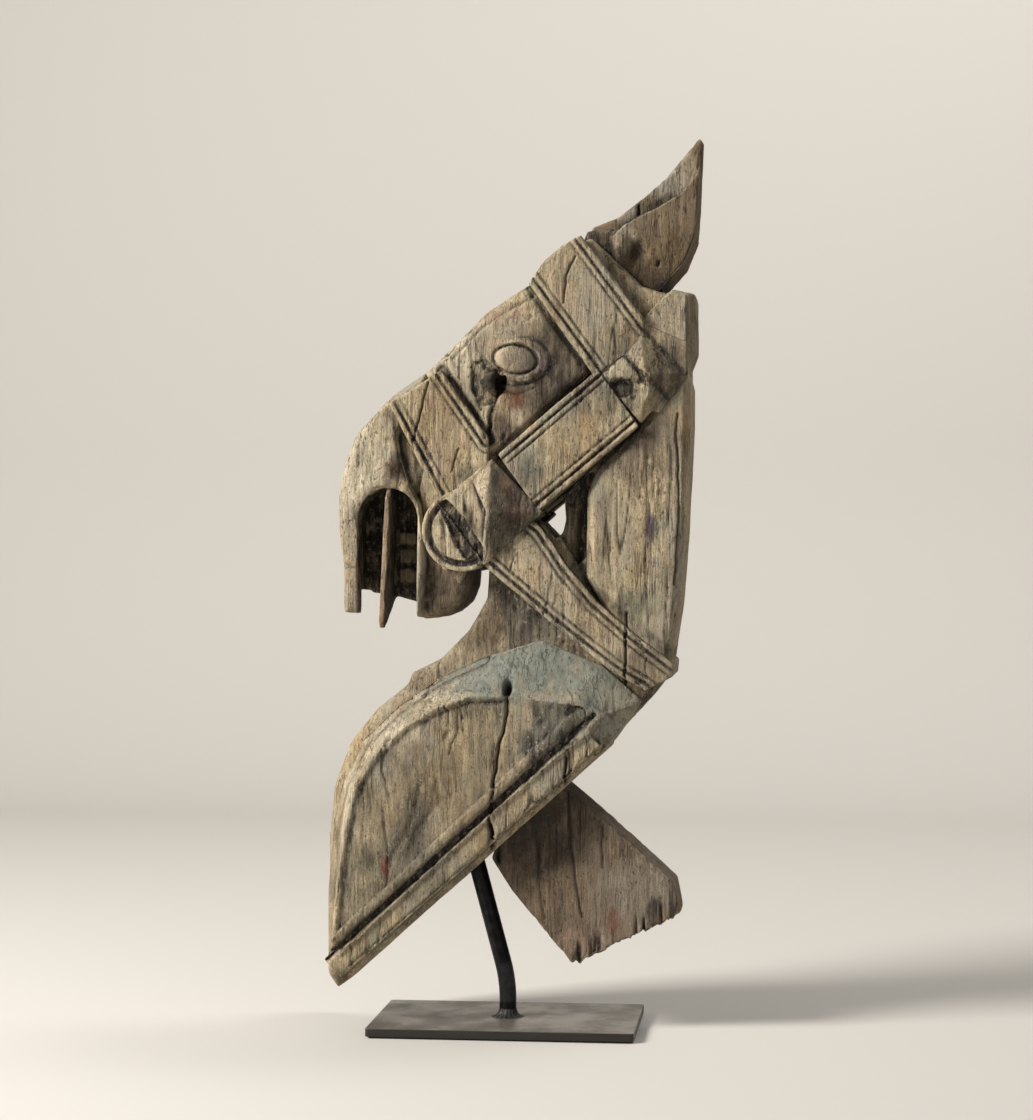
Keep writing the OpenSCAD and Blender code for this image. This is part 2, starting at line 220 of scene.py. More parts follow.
# Stains on each piece as (x, z, half-width, half-height, colour, strength). The darkest entries sit
# in recesses and beside raised parts, where they are partly painted shade as well as dirt.
STAINS = {
    "muzzle": [(-97, 400, 30, 46, "cream", 0.95), (-73, 402, 9, 13, "dirt_and_shade", 0.75),
               (-62, 390, 8, 14, "dirt_and_shade", 0.6), (-106, 312, 8, 14, "ash", 0.5),
               (-36, 322, 24, 34, "umber", 0.8), (-44, 306, 12, 8, "tan", 0.4),
               (-57, 350, 4, 40, "cream", 0.5), (-80, 402, 9, 6, "rust", 0.3),
               (-50, 324, 7, 9, "umber", 0.6)],
    # The umber entries right of and below the eye are partly painted shade on the panel's sunk
    # lower right.
    "face": [(11, 478, 9, 6, "umber", 0.6), (-30, 480, 28, 18, "cream", 0.9),
             (40, 464, 36, 38, "umber", 0.75), (-10, 437, 5, 12, "cream", 0.8),
             (36, 488, 20, 34, "umber", 0.7), (30, 455, 26, 18, "umber", 0.75),
             (8, 502, 16, 9, "ash", 0.55), (-2, 510, 22, 7, "pink", 0.5),
             (32, 474, 7, 7, "plum", 0.8), (10, 479, 15, 10, "ash", 0.5),
             (8, 450, 9, 8, "rust", 0.7), (0, 430, 14, 14, "umber", 0.8),
             (-14, 464, 8, 18, "dirt_and_shade", 0.45), (38, 500, 10, 12, "dirt_and_shade", 0.4)],
    "noseband": [(-45, 440, 22, 26, "ochre", 0.35), (-45, 412, 14, 16, "pink", 0.45),
                 (-24, 398, 9, 8, "moss", 0.7), (-51, 448, 8, 8, "pink", 0.3)],
    "brow_band": [(62, 500, 24, 24, "ash", 0.35), (94, 490, 14, 18, "umber", 0.6),
                  (68, 545, 18, 14, "ash", 0.3), (76, 490, 10, 14, "ochre", 0.3)],
    "cheek_strap": [(14, 412, 20, 20, "verdigris", 0.55), (44, 446, 22, 14, "verdigris", 0.4),
                    (54, 418, 24, 26, "ochre", 0.4), (70, 450, 18, 16, "dirt_and_shade", 0.5),
                    (22, 396, 10, 18, "moss", 0.5), (40, 385, 10, 8, "dirt_and_shade", 0.3)],
    # The dark entries over the right facets are partly painted shade, and the cream ones on the
    # upper left facet partly painted highlight.
    "cheek_boss": [(10, 372, 20, 60, "moss", 0.85), (10, 372, 20, 60, "umber", 0.75),
                   (8, 392, 8, 12, "rust", 0.35), (12, 372, 9, 9, "rust", 0.3),
                   (-13, 390, 5, 12, "cream", 0.6), (-27, 380, 12, 9, "cream", 0.55),
                   (-22, 354, 10, 16, "moss", 0.7), (-32, 364, 7, 9, "plum", 0.6)],
    "bit_ring": [(-36, 350, 18, 18, "cream", 0.35), (-30, 334, 14, 6, "cream", 0.4)],
    # The umber entry on the right side is partly painted shade.
    "poll_boss": [(116, 470, 15, 26, "umber", 0.75), (100, 490, 10, 12, "moss", 0.4),
                  (92, 480, 9, 14, "ash", 0.5), (84, 473, 10, 6, "cream", 0.5),
                  (85, 459, 8, 6, "moss", 0.8), (104, 446, 8, 12, "ochre", 0.4),
                  (90, 447, 8, 10, "dirt_and_shade", 0.6)],
    # The umber strip on the right end is partly painted shade.
    "knob": [(116, 500, 18, 24, "ash", 0.45), (134, 500, 5, 30, "umber", 0.55)],
    "ear": [(88, 564, 9, 11, "cream", 0.5), (116, 611, 20, 14, "ash", 0.9),
            (126, 620, 9, 16, "cream", 0.5), (84, 588, 14, 7, "ash", 0.8),
            (95, 557, 7, 8, "dirt_and_shade", 0.7), (100, 528, 24, 20, "umber", 0.7),
            (76, 574, 18, 5, "ash", 0.4)],
    "neck": [(96, 408, 14, 22, "plum", 0.45), (92, 425, 22, 14, "dirt_and_shade", 0.6),
             (112, 420, 24, 22, "umber", 0.55), (100, 372, 12, 50, "ochre", 0.25),
             (106, 358, 5, 14, "plum", 0.9), (109, 334, 5, 8, "ash", 0.8),
             (92, 306, 14, 12, "moss", 0.6), (72, 345, 6, 50, "dirt_and_shade", 0.4),
             (124, 370, 5, 90, "ash", 0.4), (118, 324, 6, 16, "rust", 0.25),
             (-20, 300, 30, 26, "umber", 0.5), (14, 298, 24, 26, "dirt_and_shade", 0.7),
             (-60, 252, 30, 10, "tan", 0.4)],
    "rein": [(20, 344, 18, 16, "ash", 0.3), (66, 290, 16, 14, "rust", 0.2),
             (50, 288, 18, 8, "verdigris", 0.35), (60, 320, 16, 22, "umber", 0.4),
             (100, 262, 22, 16, "umber", 0.55), (26, 356, 14, 10, "dirt_and_shade", 0.45)],
    "shoulder_leaf": [(-50, 150, 60, 62, "umber", 0.3), (-14, 186, 44, 44, "ochre", 0.35),
                      (-64, 118, 44, 30, "moss", 0.35),
                      (-80, 215, 34, 10, "cream", 0.85), (-108, 160, 7, 40, "cream", 0.8),
                      (-45, 242, 30, 5, "cream", 0.85), (-84, 190, 9, 16, "ash", 0.6),
                      (-84, 196, 5, 8, "verdigris", 0.6), (-60, 150, 8, 30, "dirt_and_shade", 0.45),
                      (-44, 166, 10, 18, "dirt_and_shade", 0.4), (-94, 127, 6, 12, "dirt_and_shade", 0.55),
                      (-10, 210, 14, 20, "verdigris", 0.2), (-115, 38, 10, 12, "dirt_and_shade", 0.6),
                      (60, 232, 12, 10, "moss", 0.4), (-40, 120, 26, 8, "ash", 0.4),
                      (-70, 105, 26, 8, "umber", 0.3), (-81, 121, 4, 10, "red", 0.9),
                      (30, 205, 26, 34, "ash", 0.5)],
    # The two dark entries below the leaf's edge are partly painted shadow cast by the leaf.
    "tenon": [(20, 140, 36, 34, "dirt_and_shade", 0.7), (52, 150, 24, 34, "umber", 0.7),
              (92, 104, 30, 30, "ash", 0.6), (78, 80, 6, 12, "rust", 0.6),
              (107, 87, 6, 12, "dirt_and_shade", 0.8), (48, 62, 14, 16, "pink", 0.4)],
    "tongue_slat": [(-82, 300, 10, 20, "rust", 0.4), (-80, 372, 10, 20, "tan", 0.4)],
}


def colour(name, default, description):
    return FloatVectorProperty(name=name, description=description, default=default,
                               subtype="COLOR")


def length(name, default, description):
    return FloatProperty(name=name, description=description, default=default, unit="LENGTH")


def power(name, default, description):
    return FloatProperty(name=name, description=description, default=default, unit="POWER")


class TimberProps(bpy.types.PropertyGroup):
    """Sizes and colours of the carved timber."""

    voxel: length("Cutting fineness", 0.95 * MM, "Cell size of the broad carved faces")
    fine_voxel: length("Strap fineness", 0.75 * MM, "Cell size of the straps and bosses")
    grain_depth: length("Grain depth", 0.45 * MM, "Depth of the furrows that weather has opened")
    wear: length("Edge wear", 0.9 * MM, "How far handling has worn the arrises unevenly")
    pale: colour("Pale wood", (0.50, 0.415, 0.268), "Dry sun-bleached wood")
    tan: colour("Tan wood", (0.215, 0.162, 0.097), "Wood between the bleached streaks")
    cream: colour("Cream wood", (0.56, 0.48, 0.34), "Palest, most exposed wood")
    ash: colour("Ash grey", (0.30, 0.265, 0.21), "Grey wood where rain has run")
    ochre: colour("Ochre", (0.34, 0.235, 0.115), "Warm stain of old oil")
    pink: colour("Pink stain", (0.36, 0.235, 0.165), "Last trace of a reddish ground")
    rust: colour("Rust", (0.19, 0.072, 0.038), "Red-brown stain")
    umber: colour("Umber", (0.075, 0.054, 0.037), "Dark brown wood kept from the sun")
    plum: colour("Plum stain", (0.085, 0.065, 0.08), "Purplish iron stain")
    moss: colour("Moss grey", (0.095, 0.105, 0.08), "Greenish grey film")
    verdigris: colour("Blue-green paint", (0.196, 0.205, 0.172), "Remains of paint")
    # Also the colour of painted shade in the hollows and recesses, besides old dirt.
    dirt_and_shade: colour("Grime", (0.028, 0.023, 0.019), "Old dirt and soot in the recesses")
    lime: colour("Lime flecks", (0.55, 0.54, 0.52), "Remains of limewash in the crevices")
    red: colour("Red paint", (0.20, 0.05, 0.03), "A last patch of red paint")


class StandProps(bpy.types.PropertyGroup):
    """Sizes and colours of the steel stand."""

    corner: length("Plate corner", 2.5 * MM, "Corner chamfer of the plate")
    edge: length("Plate edge", 0.6 * MM, "Rounding of the plate's long edges")
    steel: colour("Waxed steel", (0.112, 0.098, 0.083), "Grey-brown waxed steel of the plate")
    black: colour("Black bar", (0.006, 0.0055, 0.0055), "Satin black of the bar")


class StageProps(bpy.types.PropertyGroup):
    """Floor and light."""

    floor: colour("Floor", (0.57, 0.545, 0.505), "Pale plain floor and backdrop")
    key_power: power("Key light", 94.0, "Power of the soft key light")
    fill_power: power("Fill light", 3.0, "Power of the fill light")
    wall_power: power("Wall light", 24.0, "Power of the light on the backdrop")


def timber():
    return bpy.context.scene.horse_timber


def stand_props():
    return bpy.context.scene.horse_stand


# ---------------------------------------------------------------- mesh helpers

def finish_form(bm, offset, segments):
    """Recalculates normals and rounds the arrises that run round each face."""
    bmesh.ops.recalc_face_normals(bm, faces=bm.faces)
    if offset:
        rims = [e for e in bm.edges if len(e.link_faces) == 2
                and max(abs(f.normal.y) for f in e.link_faces) > 0.9
                and min(abs(f.normal.y) for f in e.link_faces) < 0.5]
        bmesh.ops.bevel(bm, geom=rims, offset=offset * MM, offset_type="OFFSET",
                        segments=segments, profile=0.5, affect="EDGES", material=-1,
                        clamp_overlap=True)
    return bm


def pushed(bm, face):
    """Extrudes a face in place, and gives the new face and its vertices."""
    grown = bmesh.ops.extrude_face_region(bm, geom=[face])["geom"]
    verts = [v for v in grown if isinstance(v, bmesh.types.BMVert)]
    return next(f for f in grown if isinstance(f, bmesh.types.BMFace)), verts


def plate(points, y_from, y_to, offset=0.0, segments=3):
    """A plate cut to an outline, from one y to another, with rounded arrises."""
    bm = bmesh.new()
    low = bm.faces.new([bm.verts.new((x * MM, y_from * MM, z * MM)) for x, z in points])
    top = pushed(bm, low)[1]
    bmesh.ops.translate(bm, verts=top, vec=(0, (y_to - y_from) * MM, 0))
    return finish_form(bm, offset, segments)


def slab(points, half, offset=0.0, segments=3):
    """A plate centred on the timber's middle plane."""
    return plate(points, -half, half, offset, segments)


def skins(points, level, depth, offset=0.0):
    """A pair of plates let into both faces, standing up to a level."""
    return [plate(points, -level, depth - level, offset, 2),
            plate(points, level - depth, level, offset, 2)]


def loft(edge, field, low, high, side):
    """A raised field whose rim slopes down to a wider edge, on one face."""
    bm = bmesh.new()
    face = bm.faces.new([bm.verts.new((x * MM, 0, z * MM)) for x, z in edge])
    for outline, y in ((edge, low), (field, high)):
        face, verts = pushed(bm, face)
        verts.sort(key=lambda v: nearest(edge, v.co))
        for vert, (x, z) in zip(verts, outline):
            vert.co = (x * MM, side * y * MM, z * MM)
    bmesh.ops.recalc_face_normals(bm, faces=bm.faces)
    return bm


def nearest(points, co):
    """Which point of an outline a vertex stands at."""
    return min(range(len(points)),
               key=lambda i: math.hypot(points[i][0] * MM - co.x, points[i][1] * MM - co.z))


def pyramid(corners, apex, base, rise, side):
    """A boss whose faces rise from its corners to one point."""
    bm = bmesh.new()
    face = bm.faces.new([bm.verts.new((x * MM, side * (base - SKIN) * MM, z * MM))
                         for x, z in corners])
    for y in (base, base + rise):
        face = pushed(bm, face)[0]
        for vert in face.verts:
            vert.co.y = side * y * MM
    point = Vector((apex[0], side * (base + rise), apex[1])) * MM
    bmesh.ops.pointmerge(bm, verts=list(face.verts), merge_co=point)
    bmesh.ops.recalc_face_normals(bm, faces=bm.faces)
    return bm


def circle_points(centre, radius, turns=64):
    step = 2 * math.pi / turns
    return [(centre[0] + radius * math.cos(i * step), centre[1] + radius * math.sin(i * step))
            for i in range(turns)]


def bar(line, width, half, offset=0.0, segments=2):
    """A straight bar between two points of the outline plane."""
    (ax, az), (bx, bz) = line
    run = math.hypot(bx - ax, bz - az)
    nx, nz = -(bz - az) / run * width / 2, (bx - ax) / run * width / 2
    points = [(ax + nx, az + nz), (ax - nx, az - nz), (bx - nx, bz - nz), (bx + nx, bz + nz)]
    return slab(points, half, offset, segments)


def arch():
    """The outline of the mouth: a round-topped opening that runs out below."""
    cx, cz = MOUTH_TOP
    top = [(cx + 21.5 * math.cos(a), cz + 22.5 * math.sin(a))
           for a in (math.pi * i / 16 for i in range(17))]
    return [(-60, 340), *top, (-102.5, 340), (-101.5, 270), (-61, 270)]


def boxed(node):
    """A block that fills a CAD node's box, and the box's two corners."""
    low, high = (Vector(v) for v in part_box(node))
    bm = bmesh.new()
    bmesh.ops.create_cube(bm, size=1.0)
    bmesh.ops.scale(bm, vec=high - low, verts=bm.verts)
    bmesh.ops.translate(bm, vec=(low + high) / 2, verts=bm.verts)
    return bm, low, high


def joined(forms):
    """Puts closed forms into one bmesh, still overlapping."""
    whole = bmesh.new()
    for form in forms:
        held = bpy.data.meshes.new("form")
        form.to_mesh(held)
        form.free()
        whole.from_mesh(held)
        bpy.data.meshes.remove(held)
    return whole


def as_object(bm, name):
    mesh = bpy.data.meshes.new(name)
    bm.to_mesh(mesh)
    bm.free()
    piece = bpy.data.objects.new(name, mesh)
    bpy.context.collection.objects.link(piece)
    return piece


def apply_modifiers(piece):
    """Replaces the mesh by what its modifiers make of it."""
    graph = bpy.context.evaluated_depsgraph_get()
    made = bpy.data.meshes.new_from_object(piece.evaluated_get(graph))
    old = piece.data
    piece.modifiers.clear()
    piece.data = made
    bpy.data.meshes.remove(old)


def remesh(piece, cell, smooth_rounds=0):
    """Fuses overlapping forms into one skin of even cells and softens its arrises."""
    fuse = piece.modifiers.new("fuse", "REMESH")
    fuse.mode = "VOXEL"
    fuse.voxel_size = cell
    if smooth_rounds:
        soften = piece.modifiers.new("soften", "SMOOTH")
        soften.factor = 0.5
        soften.iterations = smooth_rounds
    apply_modifiers(piece)


def cut(piece, cutters):
    """Takes closed cutters away from a piece."""
    for form in cutters:
        tool = as_object(form, "cutter")
        away = piece.modifiers.new("cut", "BOOLEAN")
        away.operation = "DIFFERENCE"
        away.solver = "MANIFOLD"
        away.object = tool
        apply_modifiers(piece)
        bpy.data.objects.remove(tool)


def carve(name, forms, cell, cutters=(), smooth_rounds=1):
    """Fuses forms into one skin of even cells, with the cutters taken away."""
    piece = as_object(joined(forms), name)
    remesh(piece, cell, 0 if cutters else smooth_rounds)
    if cutters:
        cut(piece, cutters)
        remesh(piece, cell, smooth_rounds)
    return piece


def raise_faces(piece, height):
    """Moves both faces out by a height in mm that depends on x, z and the level."""
    points, normals, _ = read_mesh(piece.data)
    x, y, z = (points / MM).T
    facing = smoothstep(0.35, 0.75, np.abs(normals[:, 1]))
    points[:, 1] += face_sign(points) * height(x, z, np.abs(y)) * facing * MM
    write_points(piece.data, points)


# ---------------------------------------------------------------- fields over the surface

def cell_values(ix, iy, iz):
    """A fixed pseudo-random number from 0 to 1 for each lattice cell."""
    n = (ix * 374761393 + iy * 668265263 + iz * 1274126177) & 0xFFFFFFFF
    n = ((n ^ (n >> 13)) * 1274126177) & 0xFFFFFFFF
    return ((n ^ (n >> 16)) & 0xFFFF) / 65535.0


def noise(points, size):
    """Smooth value noise from 0 to 1; size is the cell's length along each axis in mm."""
    q = points / (np.asarray(size) * MM) + 1000.0
    base = np.floor(q).astype(np.int64)
    f = q - base
    f = f * f * (3 - 2 * f)
    total = 0.0
    for dx in (0, 1):
        for dy in (0, 1):
            for dz in (0, 1):
                weight = (np.abs(1 - dx - f[:, 0]) * np.abs(1 - dy - f[:, 1])
                          * np.abs(1 - dz - f[:, 2]))
                total = total + weight * cell_values(base[:, 0] + dx, base[:, 1] + dy,
                                                     base[:, 2] + dz)
    return total


def layered(points, size, rounds=3):
    """Noise with finer layers, each half as strong as the last."""
    size = np.asarray(size, float)
    total, weight, norm = 0.0, 1.0, 0.0
    for i in range(rounds):
        total = total + weight * noise(points + 0.013 * i, size / 2 ** i)
        norm += weight
        weight *= 0.5
    return total / norm


def smoothstep(low, high, value):
    t = np.clip((value - low) / (high - low), 0, 1)
    return t * t * (3 - 2 * t)


def peak(value, centre, width, sharpness=2):
    """1 at the centre, falling to nothing over the width."""
    return np.exp(-np.abs((value - centre) / width) ** sharpness)


def line_distance(x, z, line):
    """Distance in mm, seen square to the faces, from each point to a broken line."""
    best = np.full(len(x), 1e9)
    for (ax, az), (bx, bz) in zip(line, line[1:]):
        ux, uz = bx - ax, bz - az
        t = np.clip(((x - ax) * ux + (z - az) * uz) / (ux * ux + uz * uz), 0, 1)
        best = np.minimum(best, np.hypot(x - ax - t * ux, z - az - t * uz))
    return best


def lines_distance(x, z, lines):
    return np.minimum.reduce([line_distance(x, z, line) for line in lines])


def inside(x, z, outline):
    """Whether each point lies inside an outline."""
    within = np.zeros(len(x), bool)
    for (ax, az), (bx, bz) in zip(outline, outline[1:] + outline[:1]):
        crosses = (az > z) != (bz > z)
        within ^= crosses & (x < (bx - ax) * (z - az) / (bz - az + 1e-9) + ax)
    return within


def oval(x, z, centre, half_width, half_height, turn=0.0):
    """Distance from a centre as a share of an oval's radius; turn is in degrees."""
    c, s = math.cos(math.radians(turn)), math.sin(math.radians(turn))
    u, w = x - centre[0], z - centre[1]
    return np.hypot((u * c + w * s) / half_width, (w * c - u * s) / half_height)


def read_mesh(mesh):
    """Vertex places, normals and edges as arrays."""
    n = len(mesh.vertices)
    points = np.empty(n * 3, np.float32)
    mesh.vertices.foreach_get("co", points)
    normals = np.empty(n * 3, np.float32)
    mesh.vertex_normals.foreach_get("vector", normals)
    edges = np.empty(len(mesh.edges) * 2, np.int32)
    mesh.edges.foreach_get("vertices", edges)
    return (points.reshape(-1, 3).astype(float), normals.reshape(-1, 3).astype(float),
            edges.reshape(-1, 2))


def relaxed(values, edges, rounds):
    """Rows of values after repeated averaging with their neighbours."""
    n = len(values)
    a, b = edges[:, 0], edges[:, 1]
    count = np.maximum(np.bincount(a, minlength=n) + np.bincount(b, minlength=n), 1)
    out = values.copy()
    for _ in range(rounds):
        for column in out.T:
            total = (np.bincount(a, weights=column[b], minlength=n)
                     + np.bincount(b, weights=column[a], minlength=n))
            column[:] = 0.5 * column + 0.5 * total / count
    return out


def hollows(points, normals, edges, rounds):
    """How far each point lies below ever more relaxed surfaces, in mm; negative on an arris."""
    soft = points
    done = 0
    depths = []
    for total in rounds:
        soft = relaxed(soft, edges, total - done)
        done = total
        depths.append(((soft - points) * normals).sum(axis=1) / MM)
    return depths


def write_points(mesh, points):
    mesh.vertices.foreach_set("co", points.astype(np.float32).ravel())
    mesh.update()


def write_mask(mesh, name, values):
    layer = mesh.attributes.new(name, "FLOAT", "POINT")
    layer.data.foreach_set("value", np.clip(values, 0, 1).astype(np.float32))


def write_colour(mesh, name, rows):
    layer = mesh.attributes.new(name, "FLOAT_COLOR", "POINT")
    layer.data.foreach_set("color", np.clip(rows, 0, 1).astype(np.float32).ravel())


def placed(x, level, z):
    """Points in metres from coordinates in mm."""
    return np.column_stack((x, level, z)) * MM


def face_sign(points):
    return np.where(points[:, 1] < 0, -1.0, 1.0)


# ---------------------------------------------------------------- weathering and painted shade

def wandered(points, reach, size):
    """The points moved sideways by noise, so that straight features wander."""
    out = points.copy()
    out[:, 0] += reach * MM * (layered(points, size, 2) - 0.5)
    return out


def check_lines(points):
    """Long thin drying checks that wander up the timber, broken off here and there."""
    flow = wandered(points, 6, (30, 30, 60))
    gate = smoothstep(0.52, 0.66, layered(points, (26, 26, 60), 3))
    broad = peak(layered(flow, (11, 11, 140), 2), 0.5, 0.018) * gate
    gate = smoothstep(0.56, 0.68, layered(points + 0.2, (17, 17, 40), 3))
    fine = peak(layered(flow + 0.1, (6, 6, 80), 2), 0.5, 0.022) * gate
    return np.maximum(0.85 * broad, 0.5 * fine)


def roughness_field(points):
    """Where the surface has broken down into furrows and pits."""
    return smoothstep(0.42, 0.66, layered(points, (34, 34, 60), 4))


def pressed_marks(points, facing):
    """Depth in mm of the cracks and knot holes, and how dark they are."""
    wobble = wandered(points, 3.0, (60, 60, 9))
    x, z = wobble[:, 0] / MM, wobble[:, 2] / MM
    down = np.zeros(len(points))
    dark = np.zeros(len(points))
    for line, width, depth in CRACKS:
        core = peak(line_distance(x, z, line), 0, 0.6 * width) * facing
        down += depth * core
        dark = np.maximum(dark, core * min(1.0, depth / 2.0) * (width < 3))
    for (cx, cz), width, depth in KNOTS:
        core = peak(oval(x, z, (cx, cz), width / 1.8, width), 0, 1, 4) * facing
        down += depth * core
        dark = np.maximum(dark, core * min(1.0, depth / 4.0))
    return down, dark


def stained(points, name):
    """Colour and strength of the stains on a named piece."""
    props = timber()
    x, z = points[:, 0] / MM, points[:, 2] / MM
    ragged = 0.9 * (layered(points, (9, 9, 14), 4) - 0.5)
    colour = np.zeros((len(points), 3))
    cover = np.zeros(len(points))
    for cx, cz, half_width, half_height, tint, strength in STAINS[name]:
        r = oval(x, z, (cx, cz), half_width, half_height) + ragged
        a = strength * smoothstep(1.15, 0.55, r)
        total = a + cover * (1 - a)
        share = (a / np.maximum(total, 1e-6))[:, None]
        colour = colour * (1 - share) + np.array(getattr(props, tint)) * share
        cover = total
    return colour, cover


def weather(piece, name, dark=None, paint=None, furrow=1.0):
    """Opens the grain, wears the arrises, presses in the cracks, and writes the finish's masks,
    among them painted shade in the hollows.
    """
    props = timber()
    mesh = piece.data
    points, normals, edges = read_mesh(mesh)
    fine, middle, broad = hollows(points, normals, edges, (8, 22, 70))
    facing = smoothstep(0.25, 0.7, np.abs(normals[:, 1]))
    rough = roughness_field(points)
    flow = wandered(points, 4, (40, 40, 90))
    furrows = smoothstep(0.50, 0.74, layered(flow, (3.6, 3.6, 70), 3))
    pits = smoothstep(0.62, 0.74, layered(points, (3.4, 3.4, 6.5), 2)) * (0.25 + rough)
    checks = check_lines(points) * facing
    chips = smoothstep(0.42, 0.75, layered(points, (8, 8, 13), 3))
    texture = furrow * (furrows * (0.5 + 0.9 * rough) * props.grain_depth / MM
                        + 0.30 * layered(points, (2.4, 2.4, 14), 2) * (0.5 + rough)
                        + 0.4 * pits + 0.9 * checks)
    form = 0.9 * (layered(points, (36, 36, 60), 3) - 0.5)
    covered = np.clip(paint(points), 0, 1) if paint else np.zeros(len(points))
    texture *= 1 - 0.65 * covered
    checks *= 1 - 0.6 * covered
    arris = smoothstep(0.2, 1.0, -middle)
    form += props.wear / MM * arris * (0.3 + 1.5 * chips)
    marks, mark_dark = pressed_marks(points, facing)
    cavity = texture - relaxed(texture[:, None], edges, 6)[:, 0]
    points -= normals * ((texture + form + marks) * MM)[:, None]
    write_points(mesh, points)

    ragged = 0.55 + 0.9 * layered(points, (4.5, 4.5, 8), 3)
    # Painted shade in the fine and broad hollows and in the grain's cavities, together with grime,
    # plus each piece's own painted shade.
    grime = 0.8 * smoothstep(0.06, 0.5, fine) + 0.9 * smoothstep(0.3, 2.0, broad)
    grime += 0.45 * smoothstep(0.08, 0.45, cavity) * (0.4 + rough)
    if dark is not None:
        x, y, z = (points / MM).T
        grime += dark(x, np.abs(y), z, normals)
    write_mask(mesh, "grime", grime * ragged)
    # Convex edges, which the finish makes paler: partly worn wood, partly painted highlight.
    write_mask(mesh, "arris", smoothstep(0.10, 0.6, -fine) + 0.4 * smoothstep(0.5, 2.2, -broad))
    write_mask(mesh, "checks", np.maximum(checks, mark_dark))
    write_mask(mesh, "rough", rough)
    write_mask(mesh, "paint", covered)
    colour, cover = stained(points, name)
    write_colour(mesh, "stain", np.column_stack((colour, np.ones(len(points)))))
    write_mask(mesh, "stain_cover", cover)


# ---------------------------------------------------------------- finishes

def add(nodes, kind, **values):
    node = nodes.new(kind)
    for key, value in values.items():
        setattr(node, key, value)
    return node


def group_shell(name, inputs, outputs):
    """An empty node group with its sockets."""
    group = bpy.data.node_groups.new(name, "ShaderNodeTree")
    for label, kind, default in inputs:
        socket = group.interface.new_socket(name=label, in_out="INPUT", socket_type=kind)
        socket.default_value = default
    for label, kind in outputs:
        group.interface.new_socket(name=label, in_out="OUTPUT", socket_type=kind)
    return group, group.nodes.new("NodeGroupInput"), group.nodes.new("NodeGroupOutput")


def feed(tree, socket, value):
    """Links a socket, or sets a plain number or colour on it."""
    if isinstance(value, bpy.types.NodeSocket):
        tree.links.new(value, socket)
    elif isinstance(value, (int, float)):
        socket.default_value = value
    else:
        socket.default_value = (*value[:3], 1.0)


def mix_colour(tree, factor, first, second, blend="MIX"):
    node = add(tree.nodes, "ShaderNodeMix", data_type="RGBA", blend_type=blend)
    feed(tree, node.inputs[0], factor)
    feed(tree, node.inputs[6], first)
    feed(tree, node.inputs[7], second)
    return node.outputs[2]


def ramp(tree, value, low, high, to_low=0.0, to_high=1.0):
    node = add(tree.nodes, "ShaderNodeMapRange", interpolation_type="SMOOTHSTEP")
    tree.links.new(value, node.inputs["Value"])
    node.inputs["From Min"].default_value = low
    node.inputs["From Max"].default_value = high
    node.inputs["To Min"].default_value = to_low
    node.inputs["To Max"].default_value = to_high
    return node.outputs["Result"]


def math_node(tree, kind, first, second=0.0):
    node = add(tree.nodes, "ShaderNodeMath", operation=kind)
    feed(tree, node.inputs[0], first)
    feed(tree, node.inputs[1], second)
    return node.outputs[0]


def times(tree, *values):
    out = values[0]
    for value in values[1:]:
        out = math_node(tree, "MULTIPLY", out, value)
    return out


def plus(tree, *values):
    out = values[0]
    for value in values[1:]:
        out = math_node(tree, "ADD", out, value)
    return out


def drawn_noise(tree, scale, along, detail=4.0, roughness=0.5, shift=0.0):
    """Noise on the piece's own coordinates, drawn out up the timber."""
    coords = add(tree.nodes, "ShaderNodeTexCoord")
    mapping = add(tree.nodes, "ShaderNodeMapping")
    mapping.inputs["Scale"].default_value = (1, 1, along)
    mapping.inputs["Location"].default_value = (shift, shift, shift)
    tree.links.new(coords.outputs["Object"], mapping.inputs["Vector"])
    node = add(tree.nodes, "ShaderNodeTexNoise")
    node.inputs["Scale"].default_value = scale
    node.inputs["Detail"].default_value = detail
    node.inputs["Roughness"].default_value = roughness
    tree.links.new(mapping.outputs["Vector"], node.inputs["Vector"])
    return node.outputs["Fac"]


def attribute(tree, name, output="Fac"):
    node = add(tree.nodes, "ShaderNodeAttribute", attribute_name=name)
    return node.outputs[output]


def isoline(tree, value, half_width):
    """1 along the noise's middle value, which runs as thin wandering lines."""
    away = math_node(tree, "ABSOLUTE", math_node(tree, "SUBTRACT", value, 0.5))
    return ramp(tree, away, 0.0, half_width, 1.0, 0.0)


def raise_surface(tree, shader, height, strength, distance):
    """Fine relief in the material, by a height from 0 to 1."""
    relief = add(tree.nodes, "ShaderNodeBump")
    relief.inputs["Strength"].default_value = strength
    relief.inputs["Distance"].default_value = distance
    tree.links.new(height, relief.inputs["Height"])
    tree.links.new(relief.outputs["Normal"], shader.inputs["Normal"])


